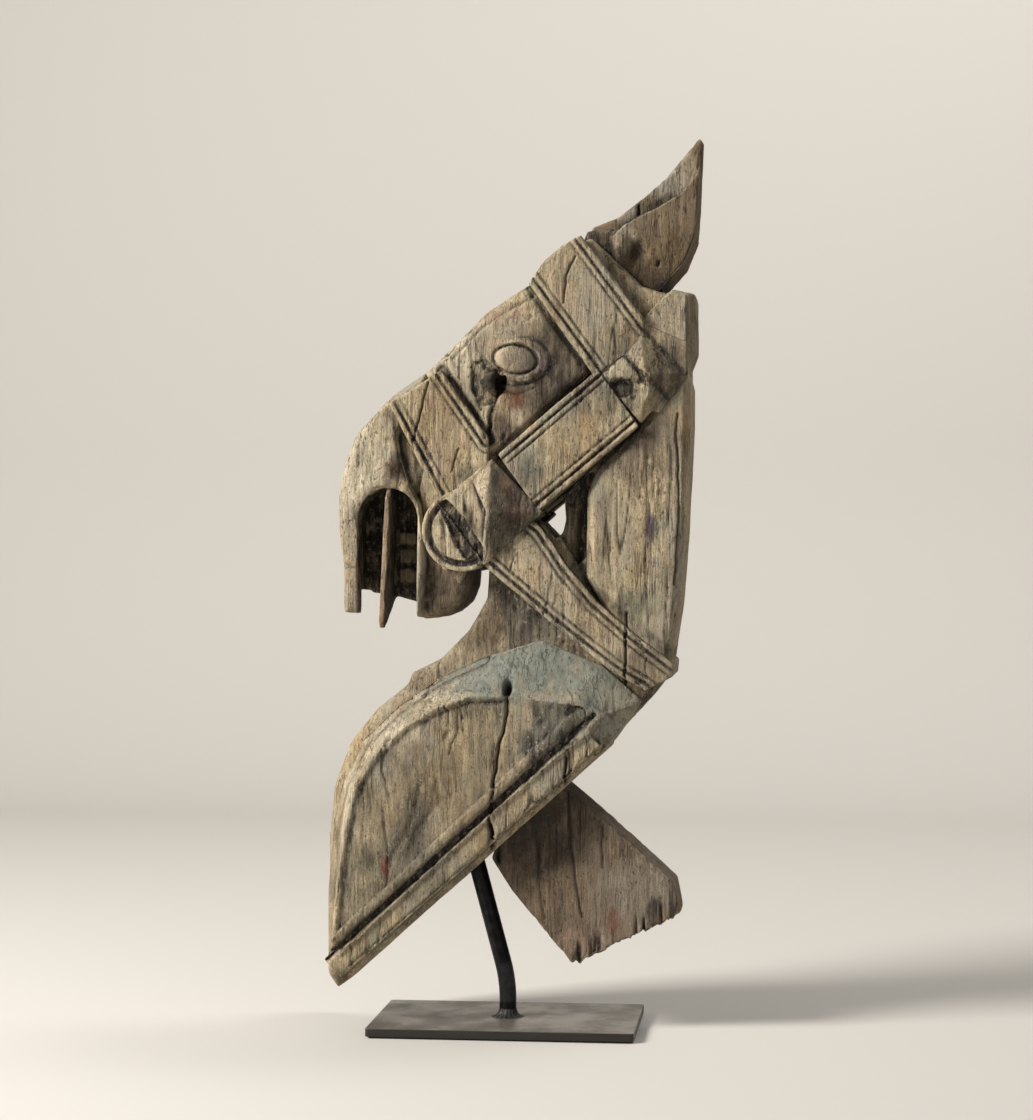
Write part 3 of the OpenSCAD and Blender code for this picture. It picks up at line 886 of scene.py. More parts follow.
def wood_grain_group():
    """Tone, fine checks, pits and height of open, weathered grain that runs up the timber."""
    group, _, out = group_shell("wood_grain", [], [
        ("Tone", "NodeSocketFloat"), ("Checks", "NodeSocketFloat"), ("Pits", "NodeSocketFloat"),
        ("Height", "NodeSocketFloat")])
    fibre = drawn_noise(group, 900.0, 0.10, 6.0, 0.65)
    band = drawn_noise(group, 230.0, 0.07, 7.0, 0.65)
    speck = drawn_noise(group, 1000.0, 0.7, 4.0, 0.75)
    tone = plus(group, times(group, fibre, 0.35), times(group, band, 0.30),
                times(group, speck, 0.35))
    gate = ramp(group, drawn_noise(group, 60.0, 0.4, 4.0), 0.50, 0.64)
    line = times(group, isoline(group, drawn_noise(group, 190.0, 0.06, 3.0), 0.030), gate)
    hair_gate = ramp(group, drawn_noise(group, 85.0, 0.4, 4.0, 0.5, 0.4), 0.48, 0.62)
    hair = times(group, isoline(group, drawn_noise(group, 420.0, 0.05, 2.0), 0.035), hair_gate)
    checks = math_node(group, "MAXIMUM", times(group, line, 0.75), times(group, hair, 0.5))
    pits = ramp(group, drawn_noise(group, 640.0, 0.4, 3.0, 0.6), 0.60, 0.70)
    grit = drawn_noise(group, 1300.0, 0.5, 3.0, 0.7)
    height = plus(group, tone, times(group, grit, 0.5), times(group, checks, -1.1),
                  times(group, pits, -0.9))
    group.links.new(ramp(group, tone, 0.41, 0.60), out.inputs["Tone"])
    group.links.new(checks, out.inputs["Checks"])
    group.links.new(pits, out.inputs["Pits"])
    group.links.new(height, out.inputs["Height"])
    return group


def place_group(tree, group):
    node = add(tree.nodes, "ShaderNodeGroup")
    node.node_tree = group
    return node


def shared_group(name, make):
    return bpy.data.node_groups.get(name) or make()


def new_material(name, roughness, metallic=0.0):
    """A material with a Principled shader whose plain values are set."""
    material = bpy.data.materials.new(name)
    material.use_nodes = True
    shader = material.node_tree.nodes["Principled BSDF"]
    shader.inputs["Roughness"].default_value = roughness
    shader.inputs["Metallic"].default_value = metallic
    return material, material.node_tree, shader


# Broad patches of tone on all the wood, as (pattern, where it starts, where it is full, strength,
# colour, lightness). A pattern is (scale, stretch along the grain, detail, roughness, shift).
BROAD_PATCHES = [
    ((26.0, 0.45, 8.0, 0.62, 0.0), 0.46, 0.62, 0.55, "ash", 1.0),
    ((34.0, 0.4, 7.0, 0.6, 0.7), 0.50, 0.66, 0.40, "ochre", 1.0),
    ((46.0, 0.6, 7.0, 0.65, 1.3), 0.51, 0.66, 0.42, "moss", 2.3),
    ((30.0, 0.6, 7.0, 0.65, 2.1), 0.52, 0.68, 0.38, "pink", 1.0),
]


def timber_material(name, pale, tan, arris_wear_and_highlight=0.45, patches=1.0, limed_share=0.28):
    """Dry carved wood: grain, stains, grime and painted shade in the recesses, pale arrises that
    are partly painted highlight, remains of paint.
    """
    props = timber()
    dirt_and_shade = tuple(props.dirt_and_shade)
    material, tree, shader = new_material(name, 0.85)
    grain = place_group(tree, shared_group("wood_grain", wood_grain_group))
    tone = grain.outputs["Tone"]
    rough = attribute(tree, "rough")
    wood = mix_colour(tree, tone, tan, pale)
    for pattern, low, high, strength, tint, lightness in BROAD_PATCHES:
        cloud = drawn_noise(tree, *pattern)
        wood = mix_colour(tree, ramp(tree, cloud, low, high, 0.0, strength * patches), wood,
                          tuple(lightness * c for c in getattr(props, tint)))
    shade = drawn_noise(tree, 21.0, 0.6, 9.0, 0.68, 3.3)
    wood = mix_colour(tree, ramp(tree, shade, 0.50, 0.66, 0.0, 0.42), wood, tuple(props.umber))
    stain = mix_colour(tree, ramp(tree, tone, 0.0, 1.0, 0.45, 0.0),
                       attribute(tree, "stain", "Color"), dirt_and_shade)
    cover = times(tree, attribute(tree, "stain_cover"),
                  ramp(tree, drawn_noise(tree, 90.0, 0.5, 7.0, 0.65), 0.36, 0.58, 0.55, 1.1))
    wood = mix_colour(tree, cover, wood, stain)
    flakes = ramp(tree, drawn_noise(tree, 120.0, 0.5, 7.0, 0.65), 0.36, 0.52, 0.6, 1.0)
    paint = mix_colour(tree, ramp(tree, drawn_noise(tree, 300.0, 0.5, 4.0), 0.3, 0.7),
                       tuple(0.8 * c for c in props.verdigris),
                       tuple(1.2 * c for c in props.verdigris))
    wood = mix_colour(tree, times(tree, attribute(tree, "paint"), flakes), wood, paint)
    # Pale convex arrises: partly worn wood, partly painted highlight.
    worn = ramp(tree, drawn_noise(tree, 180.0, 0.4, 5.0, 0.6), 0.38, 0.60)
    wood = mix_colour(tree, times(tree, attribute(tree, "arris"), worn, arris_wear_and_highlight), wood,
                      tuple(props.cream))
    mottle = ramp(tree, drawn_noise(tree, 75.0, 0.55, 9.0, 0.70), 0.50, 0.64)
    speckle = ramp(tree, drawn_noise(tree, 330.0, 0.35, 6.0, 0.70), 0.47, 0.63)
    dirt = times(tree, mottle, plus(tree, times(tree, rough, 0.42), 0.16), speckle)
    dirt = plus(tree, dirt, times(tree, speckle, rough, 0.20))
    wood = mix_colour(tree, dirt, wood, tuple(props.umber))
    # Darkens the hollows with grime and painted shade, broken up by noise.
    seat = ramp(tree, drawn_noise(tree, 240.0, 0.35, 6.0, 0.65), 0.36, 0.58, 0.55, 1.15)
    wood = mix_colour(tree, times(tree, attribute(tree, "grime"), seat), wood, dirt_and_shade)
    pitted = times(tree, grain.outputs["Pits"], plus(tree, times(tree, rough, 0.4), 0.22))
    wood = mix_colour(tree, pitted, wood, dirt_and_shade)
    lines = math_node(tree, "MAXIMUM", attribute(tree, "checks"),
                      times(tree, grain.outputs["Checks"], 0.75))
    wood = mix_colour(tree, lines, wood, tuple(0.8 * c for c in dirt_and_shade))
    fleck = ramp(tree, drawn_noise(tree, 480.0, 0.8, 2.0, 0.5, 0.3), 0.60, 0.72)
    limed = times(tree, fleck, ramp(tree, attribute(tree, "grime"), 0.15, 0.7), limed_share)
    wood = mix_colour(tree, limed, wood, tuple(props.lime))
    tree.links.new(wood, shader.inputs["Base Color"])
    tree.links.new(ramp(tree, tone, 0.0, 1.0, 0.93, 0.76), shader.inputs["Roughness"])
    raise_surface(tree, shader, grain.outputs["Height"], 0.9, 0.0010)
    shader.inputs["Specular IOR Level"].default_value = 0.22
    return material


def steel_material(name, colour, roughness, scale, metallic):
    """Steel with a cloudy finish, faint handling marks and side faces darkened as painted shade."""
    material, tree, shader = new_material(name, roughness, metallic)
    cloud = drawn_noise(tree, scale, 1.0, 7.0, 0.6)
    light = tuple(min(1.0, c * 1.8 + 0.008) for c in colour)
    skin = mix_colour(tree, ramp(tree, cloud, 0.36, 0.66), tuple(colour), light)
    marks = ramp(tree, drawn_noise(tree, 420.0, 1.0, 5.0, 0.7), 0.60, 0.72, 0.0, 0.5)
    skin = mix_colour(tree, marks, skin, tuple(0.4 * c for c in colour))
    # Painted shade: darkens the faces marked as the plate's sides.
    skin = mix_colour(tree, attribute(tree, "cut_edge"), skin, tuple(0.25 * c for c in colour))
    tree.links.new(skin, shader.inputs["Base Color"])
    tree.links.new(ramp(tree, cloud, 0.3, 0.7, roughness + 0.10, roughness - 0.08),
                   shader.inputs["Roughness"])
    raise_surface(tree, shader, drawn_noise(tree, 500.0, 1.0, 3.0), 0.25, 0.0003)
    return material


def felt_material():
    """Short black felt."""
    material, tree, shader = new_material("felt", 0.95)
    fuzz = drawn_noise(tree, 900.0, 1.0, 4.0)
    tree.links.new(mix_colour(tree, fuzz, (0.012, 0.012, 0.012), (0.05, 0.048, 0.045)),
                   shader.inputs["Base Color"])
    raise_surface(tree, shader, fuzz, 1.0, 0.0005)
    return material


def place_on(piece, body, slot, *nodes):
    """Gives a finished piece its body and hides the CAD nodes that it stands for; the slot is not
    used.
    """
    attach(piece, body)
    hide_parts(*nodes)


def thin_out(piece):
    """Merges the smallest faces of a heavy piece until it is under the limit."""
    piece.data.calc_loop_triangles()
    triangles = len(piece.data.loop_triangles)
    if triangles > MOST_TRIANGLES:
        fewer = piece.modifiers.new("fewer", "DECIMATE")
        fewer.ratio = MOST_TRIANGLES / triangles
        apply_modifiers(piece)


def finish_stand(piece, material, slot, node):
    """Gives a piece of the stand its material and its body."""
    piece.data.materials.append(material)
    piece.data.shade_smooth()
    place_on(piece, STAND, slot, node)


def finish_timber(piece, material=None, dark=None, paint=None, furrow=1.0,
                  slot="weathered_timber", node=BLOCK):
    """Weathers a timber piece and gives it its finish and its body."""
    weather(piece, piece.name, dark, paint, furrow)
    thin_out(piece)
    piece.data.materials.clear()
    piece.data.materials.append(material or old_wood())
    piece.data.shade_smooth()
    place_on(piece, CARVING, slot, node)


def old_wood():
    return bpy.data.materials.get("old_wood") or timber_material(
        "old_wood", tuple(timber().pale), tuple(timber().tan))


def beside(x, z, lines, width):
    """1 on the given lines, fading out over the width in mm."""
    return smoothstep(width, 0.35 * width, lines_distance(x, z, lines))


def both_sides(make):
    return [make(-1), make(1)]


def torn_strip(x, level, z):
    """1 on the torn strip that crosses the bit ring and the cheek boss."""
    points = placed(x, level, z)
    sway = 5 * (layered(points, (5, 5, 7), 4) - 0.5)
    strip = [(-45, 379), (-37, 379), (-22, 361), (-8, 341), (-12, 332), (-25, 338), (-35, 357)]
    return inside(x + sway, z - sway, strip) * (0.45 + 0.9 * layered(points, (4, 4, 7), 3))


def welt(d):
    """Height in mm of a strap's border by the distance in from its edge."""
    lip = 1.2 * smoothstep(4.3, 3.6, d)
    bead = 0.7 * peak(d, 7.1, 1.6, 4)
    return lip + bead - 1.5 * peak(d, 4.9, 0.9) - 0.7 * peak(d, 9.6, 0.95)


# Painted shade in a welt's grooves and along the strap's edge, by the distance in from the edge.
def welt_groove_shade(d):
    return 0.75 * peak(d, 4.9, 0.9) + 0.3 * peak(d, 9.6, 0.9) + 0.2 * peak(d, 0.0, 0.9)


# ---------------------------------------------------------------- pieces

class HORSE_OT_muzzle(bpy.types.Operator):
    """Carve the muzzle with its open mouth, teeth and jaw"""

    bl_idname = "horse.muzzle"
    bl_label = "Muzzle"

    def execute(self, context):
        forms = [slab([p for p in HEAD_CORE if p[0] < -10] + [(-8, 400), (-8, 480)], CORE, 6),
                 slab(MUZZLE, RIM, 6), slab(BRIDGE, RIM, 8), slab(JAW_SIDE, JAW, 10, 4)]
        pocket = arch()
        piece = carve("muzzle", forms, timber().voxel,
                      [plate(pocket, -THROUGH, -WEB), plate(pocket, WEB, THROUGH),
                       slab(MOUTH_FLOOR, THROUGH),
                       plate(LIP_BREAK, -RIM + LIP_DEPTH, THROUGH)], 2)
        raise_faces(piece, self.relief)
        finish_timber(piece, dark=self.dark, furrow=0.65)
        return {"FINISHED"}

    def relief(self, x, z, level):
        """Teeth on the web of the mouth, a hollow behind the nostril and a rolled lip."""
        web = level < WEB + 4
        teeth = np.zeros(len(x))
        for low, high in ((334, 346), (348, 358), (320, 332)):
            teeth = np.maximum(teeth, smoothstep(0, 1.2, x + 78) * smoothstep(-64, -66, x)
                               * smoothstep(low, low + 1.5, z) * smoothstep(high, high - 1.5, z))
        panels = (peak(x, -92, 0.8) + peak(z, 354, 0.8) + peak(z, 340, 0.8) + peak(z, 328, 0.8))
        left = (x > -101) & (x < -91) & (z > 318) & (z < 372)
        face = level > RIM - 3
        hollow = 4.5 * np.exp(-oval(x, z, (-68, 400), 8, 17, -40) ** 4)
        roll = 1.2 * peak(oval(x, z, MOUTH_TOP, 26.5, 28) * (z > 366) + 1.0 * (z <= 366)
                          + 0.02 * np.abs(x + 81) * (z <= 366), 1.0, 0.16)
        return web * (3.0 * teeth - 1.0 * panels * left) + face * (roll * (z > 360) - hollow)

    # Painted shade: darkens the inside of the mouth, less on the teeth, and the wood along the
    # noseband's edge.
    def dark(self, x, level, z, normals):
        pocket = (x > -101.5) & (x < -60.5) & (z < 390)
        deep = smoothstep(RIM - 3, RIM - 20, level) * pocket * 0.85
        deep = np.maximum(deep, 0.9 * smoothstep(RIM, RIM - 5, level) * (x > -104) * (x < -95)
                          * (z < 384))
        deep *= 1 - 0.6 * smoothstep(WEB + 1.5, WEB + 2.8, level) * (level < WEB + 6) * (x > -79)
        under_strap = beside(x, z, [((-78, 442), (-62, 412), (-50, 384), (-44, 374))], 7)
        return deep + 0.5 * under_strap * (level > 36)


class HORSE_OT_face(bpy.types.Operator):
    """Carve the face panel with its eye and brow"""

    bl_idname = "horse.face"
    bl_label = "Face"

    def execute(self, context):
        back = [p for p in HEAD_CORE if p[0] > -60]
        forms = [slab([(-45, 330), (-60, 380), (-60, 440)] + back, CORE, 5),
                 slab(FACE_PANEL, FACE, 8)]
        piece = carve("face", forms, timber().voxel)
        raise_faces(piece, self.relief)
        finish_timber(piece, dark=self.dark, furrow=0.8)
        return {"FINISHED"}

    def relief(self, x, z, level):
        """Brow, lids, eyeball, the broken patch before the eye and the sunk panel edges."""
        points = placed(x, level, z)
        ball = oval(x, z, *EYE)
        lid = oval(x, z, *LID) + 0.16 * (layered(points, (7, 7, 7), 3) - 0.5)
        up = 3.4 * np.sqrt(np.clip(1 - ball ** 2, 0, 1)) - 1.4 * peak(ball, 1.07, 0.08)
        up += 2.4 * smoothstep(1.08, 1.28, ball) * smoothstep(1.05, 0.84, lid)
        up += 3.4 * np.exp(-oval(x, z, (6, 500), 24, 10, -12) ** 2) * (ball > 1)
        up += 1.6 * peak(line_distance(x, z, [(27, 508), (37, 496), (37, 478)]), 0, 3.0)
        for line, depth, width in FACE_LINES:
            up -= depth * peak(line_distance(x, z, line), 0, width)
        sway = 6 * (layered(points, (6, 6, 9), 4) - 0.5)
        broken = inside(x + sway, z - sway, BROKEN_PATCH)
        flake = inside(x + 0.4 * sway, z + 0.4 * sway, FLAKE)
        up += 1.0 * flake - broken * (3.4 * layered(points, (4, 4, 6), 3) - 0.4)
        up -= 2.2 * beside(x, z, PANEL_EDGES, 6)
        up -= 2.0 * smoothstep(20, 52, x) * smoothstep(505, 470, z)
        return up * (level > FACE - 7)

    # Painted shade: darkens the rings round the eye and its lids, the sunk panel edges, the broken
    # patch before the eye and the sunk lower right of the panel.
    def dark(self, x, level, z, normals):
        ball = oval(x, z, *EYE)
        lid = oval(x, z, *LID)
        rings = 0.38 * peak(ball, 1.07, 0.08) + 0.4 * peak(lid, 1.0, 0.08) * smoothstep(5, 25, x)
        points = placed(x, level, z)
        broken = smoothstep(1.3, 0.5, oval(x, z, (-12, 462), 9, 20, -8))
        broken *= smoothstep(0.40, 0.58, layered(points, (3.2, 3.2, 6), 3))
        low = smoothstep(14, 44, x) * smoothstep(500, 478, z)
        return rings + 0.6 * beside(x, z, PANEL_EDGES, 5.5) + 0.85 * broken + 0.3 * low


def strap(name, forms, welts, cell, level=STRAP):
    """A strap of the bridle with its welted borders."""
    piece = carve(name, forms, cell, smooth_rounds=1)

    def height(x, z, depth):
        up = np.maximum.reduce([welt(line_distance(x, z, line)) for line in welts])
        down = np.minimum.reduce([welt(line_distance(x, z, line)) for line in welts])
        worn = 0.45 + 1.0 * layered(placed(x, depth, z), (18, 18, 18), 3)
        return np.where(np.abs(down) > up, down, up) * worn * (depth > level - 4)

    # Painted shade in the welts' grooves and down the strap's sunk sides.
    def lines(x, depth, z, normals):
        d = lines_distance(x, z, welts)
        sunk = smoothstep(level - 0.5, level - 4, depth) * smoothstep(level - 14, level - 7, depth)
        uneven = 0.35 + 1.3 * layered(placed(x, depth, z), (16, 16, 16), 3)
        return welt_groove_shade(d) * uneven * (depth > level - 3) + 0.7 * sunk

    raise_faces(piece, height)
    finish_timber(piece, dark=lines)


class HORSE_OT_straps(bpy.types.Operator):
    """Carve the noseband, brow band, cheek strap and rein"""

    bl_idname = "horse.straps"
    bl_label = "Bridle straps"

    def execute(self, context):
        cell = timber().fine_voxel
        strap("noseband", [slab(NOSEBAND, STRAP, 1.2, 2)], NOSE_WELTS, cell)
        strap("brow_band", [slab(BROWBAND, STRAP, 1.2, 2)], BROW_WELTS, cell)
        strap("cheek_strap", skins(CHEEK_STRAP, STRAP, SKIN, 0.8), CHEEK_WELTS, cell)
        ends = [slab(REIN_END, STRAP - 2, 1.5, 2)]
        strap("rein", skins(REIN, STRAP - 2, SKIN, 1.0) + ends, REIN_WELTS, cell, level=STRAP - 2)
        return {"FINISHED"}


class HORSE_OT_bosses(bpy.types.Operator):
    """Carve the bit ring, the cheek boss, the poll boss and the knob"""

    bl_idname = "horse.bosses"
    bl_label = "Bit ring and bosses"

    def execute(self, context):
        cell = timber().fine_voxel
        disc = circle_points(RING_CENTRE, RING_RADIUS)
        ring = carve("bit_ring", skins(disc, STRAP + 1.2, 20, 1.2), cell)
        raise_faces(ring, self.ring_relief)
        finish_timber(ring, dark=self.ring_dark)
        boss = carve("cheek_boss", both_sides(
            lambda s: pyramid(CHEEK_BOSS, CHEEK_APEX, STRAP + 0.5, BOSS_RISE + 1, s)), cell,
            smooth_rounds=0)
        raise_faces(boss, self.cheek_relief)
        finish_timber(boss, dark=self.cheek_dark)
        poll = carve("poll_boss", skins(POLL_TIE, STRAP - 3, SKIN, 1.5) + both_sides(
            lambda s: pyramid(POLL_BOSS, POLL_APEX, STRAP - 3, BOSS_RISE + 4, s)), cell,
            smooth_rounds=0)
        raise_faces(poll, self.poll_relief)
        finish_timber(poll, dark=self.poll_dark)
        knob = carve("knob", both_sides(
            lambda s: loft(KNOB_EDGE, KNOB_FACE, 30, NECK + 1, s)), cell)
        finish_timber(knob)
        return {"FINISHED"}

    def ring_relief(self, x, z, level):
        r = oval(x, z, RING_CENTRE, 1, 1)
        top = level > STRAP - 2
        rim = 3.2 * peak(r, RING_GROOVE, 2.0, 4) + 1.0 * smoothstep(21.5, 20, r)
        return top * -np.maximum(rim, 4.2 * torn_strip(x, level, z) * (r < 21.5))

    # Painted shade in the ring's groove and down its sides; the torn strip is darkened too.
    def ring_dark(self, x, level, z, normals):
        r = oval(x, z, RING_CENTRE, 1, 1)
        return (0.85 * peak(r, RING_GROOVE, 2.2, 4) + 0.5 * smoothstep(STRAP - 1, STRAP - 5, level)
                + 0.85 * torn_strip(x, level, z))

    def broken_edge(self, z):
        """Where the pyramid's left flank has come away, as x by height."""
        return np.interp(z, (333, 350, 371, 393, 409), (-12, -12, -9, -19.5, -7))

    def cheek_relief(self, x, z, level):
        """The left flank worn down to a flat plate with a torn lower edge."""
        flank = smoothstep(0.4, -0.4, x - self.broken_edge(z))
        floor = STRAP + 2.0 - 5.0 * torn_strip(x, level, z)
        return flank * np.minimum(0.0, floor - level)

    # Darkens the torn strip on the worn flank and, as painted shade, the seam along the broken edge
    # and the right facets that face away from the light.
    def cheek_dark(self, x, level, z, normals):
        flank = x < self.broken_edge(z)
        seam = peak(x, self.broken_edge(z), 1.0) * (z > 371)
        right = (x > -7) * smoothstep(STRAP + 14, STRAP + 1, level)
        return 0.85 * flank * torn_strip(x, level, z) + 0.6 * seam + 0.35 * right

    def poll_relief(self, x, z, level):
        """Below its left shoulder the poll boss has broken to a half round and a wedge."""
        points = placed(x, level, z)
        sway = 5 * (layered(points, (6, 6, 8), 4) - 0.5)
        x, z = x + sway, z - sway
        below = ((z - 482) * (118 - 86) - (451 - 482) * (x - 86)) < 0
        stump = below * (x < 103)
        half_round = smoothstep(15.5, 14.0, np.hypot(x - 83, z - 465)) * smoothstep(462, 466, z)
        recess = smoothstep(466, 461, z) * smoothstep(1.1, 0.7, oval(x, z, (85, 458), 11, 7))
        floor = STRAP - 1.5 + 1.2 * half_round - 4.0 * recess
        wedge = smoothstep(0, 8, x - 92) * smoothstep(463, 459, z) * 5.0
        return stump * np.minimum(0.0, floor + wedge - level)

    # Painted shade along the seams, in the recess under the broken shoulder and on the right side,
    # which faces away from the light.
    def poll_dark(self, x, level, z, normals):
        seams = [((70, 471), (86, 483), (118, 451)), ((99, 501), (130, 468)),
                 ((74, 464), (97, 463)), ((97, 463), (98, 434))]
        recess = smoothstep(1.15, 0.6, oval(x, z, (85, 457), 12, 7))
        uneven = 0.3 + 1.2 * layered(placed(x, level, z), (12, 12, 12), 3)
        right = smoothstep(104, 110, x) * 0.3
        return 0.55 * uneven * beside(x, z, seams, 2.6) + 0.5 * recess + right


class HORSE_OT_ear(bpy.types.Operator):
    """Carve the ear with its hollow"""

    bl_idname = "horse.ear"
    bl_label = "Ear"

    def execute(self, context):
        forms = [plate(EAR_FAR, 14, 33, 3), plate(EAR_NEAR, -33, -12, 2.5),
                 plate(EAR_FLOOR, -30, 30, 3), slab(EAR_ROOT, 31, 5)]
        piece = carve("ear", forms, timber().fine_voxel, smooth_rounds=2)
        raise_faces(piece, self.relief)
        material = timber_material("ear_wood", (0.185, 0.130, 0.070), (0.088, 0.059, 0.032),
                                   0.9, 0.3, 0.15)
        finish_timber(piece, material, self.dark, furrow=0.7)
        return {"FINISHED"}

    def relief(self, x, z, level):
        """A worn lump at the front, a scoop behind it and a flat that falls away below a fold."""
        lump = 3.5 * np.exp(-oval(x, z, (84, 555), 6, 16) ** 4)
        scoop = 4.0 * np.exp(-oval(x, z, (95, 556), 6.5, 9, -20) ** 2)
        below = np.clip(566 + (x - 97) * 0.16 - z, 0, 60)
        back = np.clip(x - 118, 0, 30) * smoothstep(575, 555, z)
        return (level > 26) * (lump - scoop - 0.16 * below - 0.15 * back)

    # Painted shade in the recess round the ear's root, in its hollow and in the fold.
    def dark(self, x, level, z, normals):
        root = beside(x, z, [((60, 566), (78, 550), (82, 534), (100, 512), (116, 528))], 13)
        hollow = (level < 14) * smoothstep(0.2, 0.8, normals[:, 2])
        crease = beside(x, z, [((82, 576), (98, 587), (116, 598))], 7) * (level < 16)
        return 0.75 * root + 0.45 * hollow + 0.8 * crease


class HORSE_OT_neck(bpy.types.Operator):
    """Carve the neck and the chest"""

    bl_idname = "horse.neck"
    bl_label = "Neck and chest"

    def execute(self, context):
        forms = [slab(NECK_CORE, CHEST - 2, 4), slab(NECK_SIDE, NECK, 8, 1),
                 slab(CHEST_SIDE, CHEST, 7)]
        piece = carve("neck", forms, timber().voxel,
                      [slab(REIN_HOLE, THROUGH), plate(REIN_POCKET, -THROUGH, -24),
                       plate(REIN_POCKET, 24, THROUGH)])
        cut(piece, [peg_hole()])
        finish_timber(piece, dark=self.dark)
        return {"FINISHED"}

    # Painted shade in the rein pocket, on the chest below the rein and beside the straps.
    def dark(self, x, level, z, normals):
        pocket = beside(x, z, [((36, 372), (55, 392), (60, 360), (58, 335))], 12)
        deep = smoothstep(NECK - 2, NECK - 8, level)
        chest = beside(x, z, [((-12, 333), (35, 293), (80, 258), (104, 244))], 20)
        low = smoothstep(STRAP - 4, CHEST + 2, level)
        by_strap = beside(x, z, [((28, 366), (98, 426)), ((60, 322), (95, 292), (124, 268))], 5)
        return 0.95 * pocket * deep + 0.6 * chest * low + 0.5 * by_strap


class HORSE_OT_shoulder(bpy.types.Operator):
    """Carve the shoulder leaf with its rib, groove and lower band"""

    bl_idname = "horse.shoulder"
    bl_label = "Shoulder leaf"

    def execute(self, context):
        forms = both_sides(lambda s: loft(LEAF_EDGE, LEAF_FIELD, 37, FIELD, s))
        forms += [bar(RIB_LINE, 7, RIB, 2.5, 3), bar(BAND_LINE, 18, BAND, 1.5)]
        piece = carve("shoulder_leaf", forms, timber().voxel)
        raise_faces(piece, self.relief)
        cut(piece, [peg_hole()])
        finish_timber(piece, dark=self.dark, paint=self.paint, furrow=1.3)
        return {"FINISHED"}

    def relief(self, x, z, level):
        """The field sunk behind its pale rim, the groove under the rib and a broken rib end."""
        rim = line_distance(x, z, FIELD_RIM)
        carved = inside(x, z, LEAF_FIELD) * smoothstep(16, 2, x)
        up = 1.2 * smoothstep(4.2, 0.6, rim) * smoothstep(16, 2, x)
        up -= 1.5 * carved * smoothstep(0.6, 5.5, rim)
        groove = 4.5 * peak(line_distance(x, z, GROOVE_LINE), 0, 2.3, 3)
        step = 3.0 * smoothstep(44, 52, x) * (line_distance(x, z, RIB_LINE) < 7)
        lower = 1.0 * peak(line_distance(x, z, ((-108, 49), (70, 205))), 0, 0.8)
        outer = line_distance(x, z, LEAF_EDGE[3:10])
        layer = 1.8 * smoothstep(6.0, 5.0, outer) + 1.0 * peak(outer, 6.0, 0.9)
        return up - groove - step - lower - layer

    # Partly painted shade in the groove under the rib, at the step of the outer layer and on the
    # outer rim; partly dirt mottling the field and browning its upper right.
    def dark(self, x, level, z, normals):
        field = inside(x, z, LEAF_FIELD) * (level > 44)
        outer = line_distance(x, z, LEAF_EDGE[3:10])
        points = placed(x, level, z)
        dirt = smoothstep(0.40, 0.62, layered(points, (16, 16, 34), 4))
        brown = smoothstep(4, 24, x) * smoothstep(258, 226, z) * (z > 150)
        return (0.45 * beside(x, z, [GROOVE_LINE], 3.4)
                + field * (0.10 + 0.40 * dirt + 0.22 * brown)
                + 0.45 * peak(outer, 6.0, 1.2) + 0.15 * smoothstep(6, 5, outer) * (level > 36))

    def paint(self, points):
        x, z = points[:, 0] / MM, points[:, 2] / MM
        top = smoothstep(232, 244, z - 0.10 * np.abs(x)) * smoothstep(-70, -20, x)
        beside_rib = smoothstep(24, 38, x) * smoothstep(200, 218, z)
        streak = 0.6 * (oval(x, z, (30, 218), 26, 5, 43) < 1)
        thin = 0.55 + 0.8 * layered(points, (13, 13, 20), 4)
        return np.maximum.reduce([top, 0.75 * beside_rib, streak]) * thin


class HORSE_OT_tenon(bpy.types.Operator):
    """Carve the broken tenon under the shoulder"""

    bl_idname = "horse.tenon"
    bl_label = "Tenon"

    def execute(self, context):
        piece = carve("tenon", [slab(TENON_SIDE, TENON, 1.5, 2)], timber().voxel)
        points, normals, _ = read_mesh(piece.data)
        x, _, z = (points / MM).T
        end = (x - 49) * 0.433 - (z - 48) * 0.901
        torn = smoothstep(-20, 0, end)
        points[:, 2] += torn * (9.0 * layered(points, (3.0, 9, 200), 3) - 3.0) * MM
        split = smoothstep(0.52, 0.7, layered(points, (4.5, 30, 60), 3)) * torn
        facing = smoothstep(0.4, 0.8, np.abs(normals[:, 1]))
        points[:, 1] -= face_sign(points) * split * facing * 3.5 * MM
        write_points(piece.data, points)
        material = timber_material("tenon_wood", (0.235, 0.175, 0.118), (0.11, 0.075, 0.047),
                                   0.3, 0.4, 0.1)
        finish_timber(piece, material, self.dark, furrow=0.8)
        return {"FINISHED"}

    # Painted shadow cast by the leaf along the tenon's top, and a slight darkening over the whole
    # tenon.
    def dark(self, x, level, z, normals):
        under = beside(x, z, [((-12, 126), (47, 180))], 20)
        return 0.5 * under + 0.1


def stem_line():
    """Where the bar's centre line runs: foot, direction of the lean, radius, top corner."""
    low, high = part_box("stem_rod")
    joint = frame["joints"][0]
    lean = Vector(joint["axis"]).normalized()
    radius = (high[1] - low[1]) / 2
    return Vector((0, 0, low[2])), lean, radius, high


def peg_hole():
    """The drilled hole that the bar stands in."""
    _, lean, radius, _ = stem_line()
    tip = peg_tip()
    bm = bmesh.new()
    bmesh.ops.create_cone(bm, cap_ends=True, segments=48, radius1=radius + PEG_PLAY,
                          radius2=radius + PEG_PLAY, depth=PEG_HOLE_LENGTH)
    turn = Vector((0, 0, 1)).rotation_difference(lean).to_matrix().to_4x4()
    place = Matrix.Translation(tip - lean * PEG_HOLE_MIDDLE)
    bmesh.ops.transform(bm, matrix=place @ turn, verts=bm.verts)
    return bm


def peg_tip():
    """The top end of the bar, on its centre line."""
    _, lean, radius, high = stem_line()
    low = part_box("stem_rod")[0]
    return Vector((low[0] + radius * lean.z, 0, high[2] + radius * lean.x))


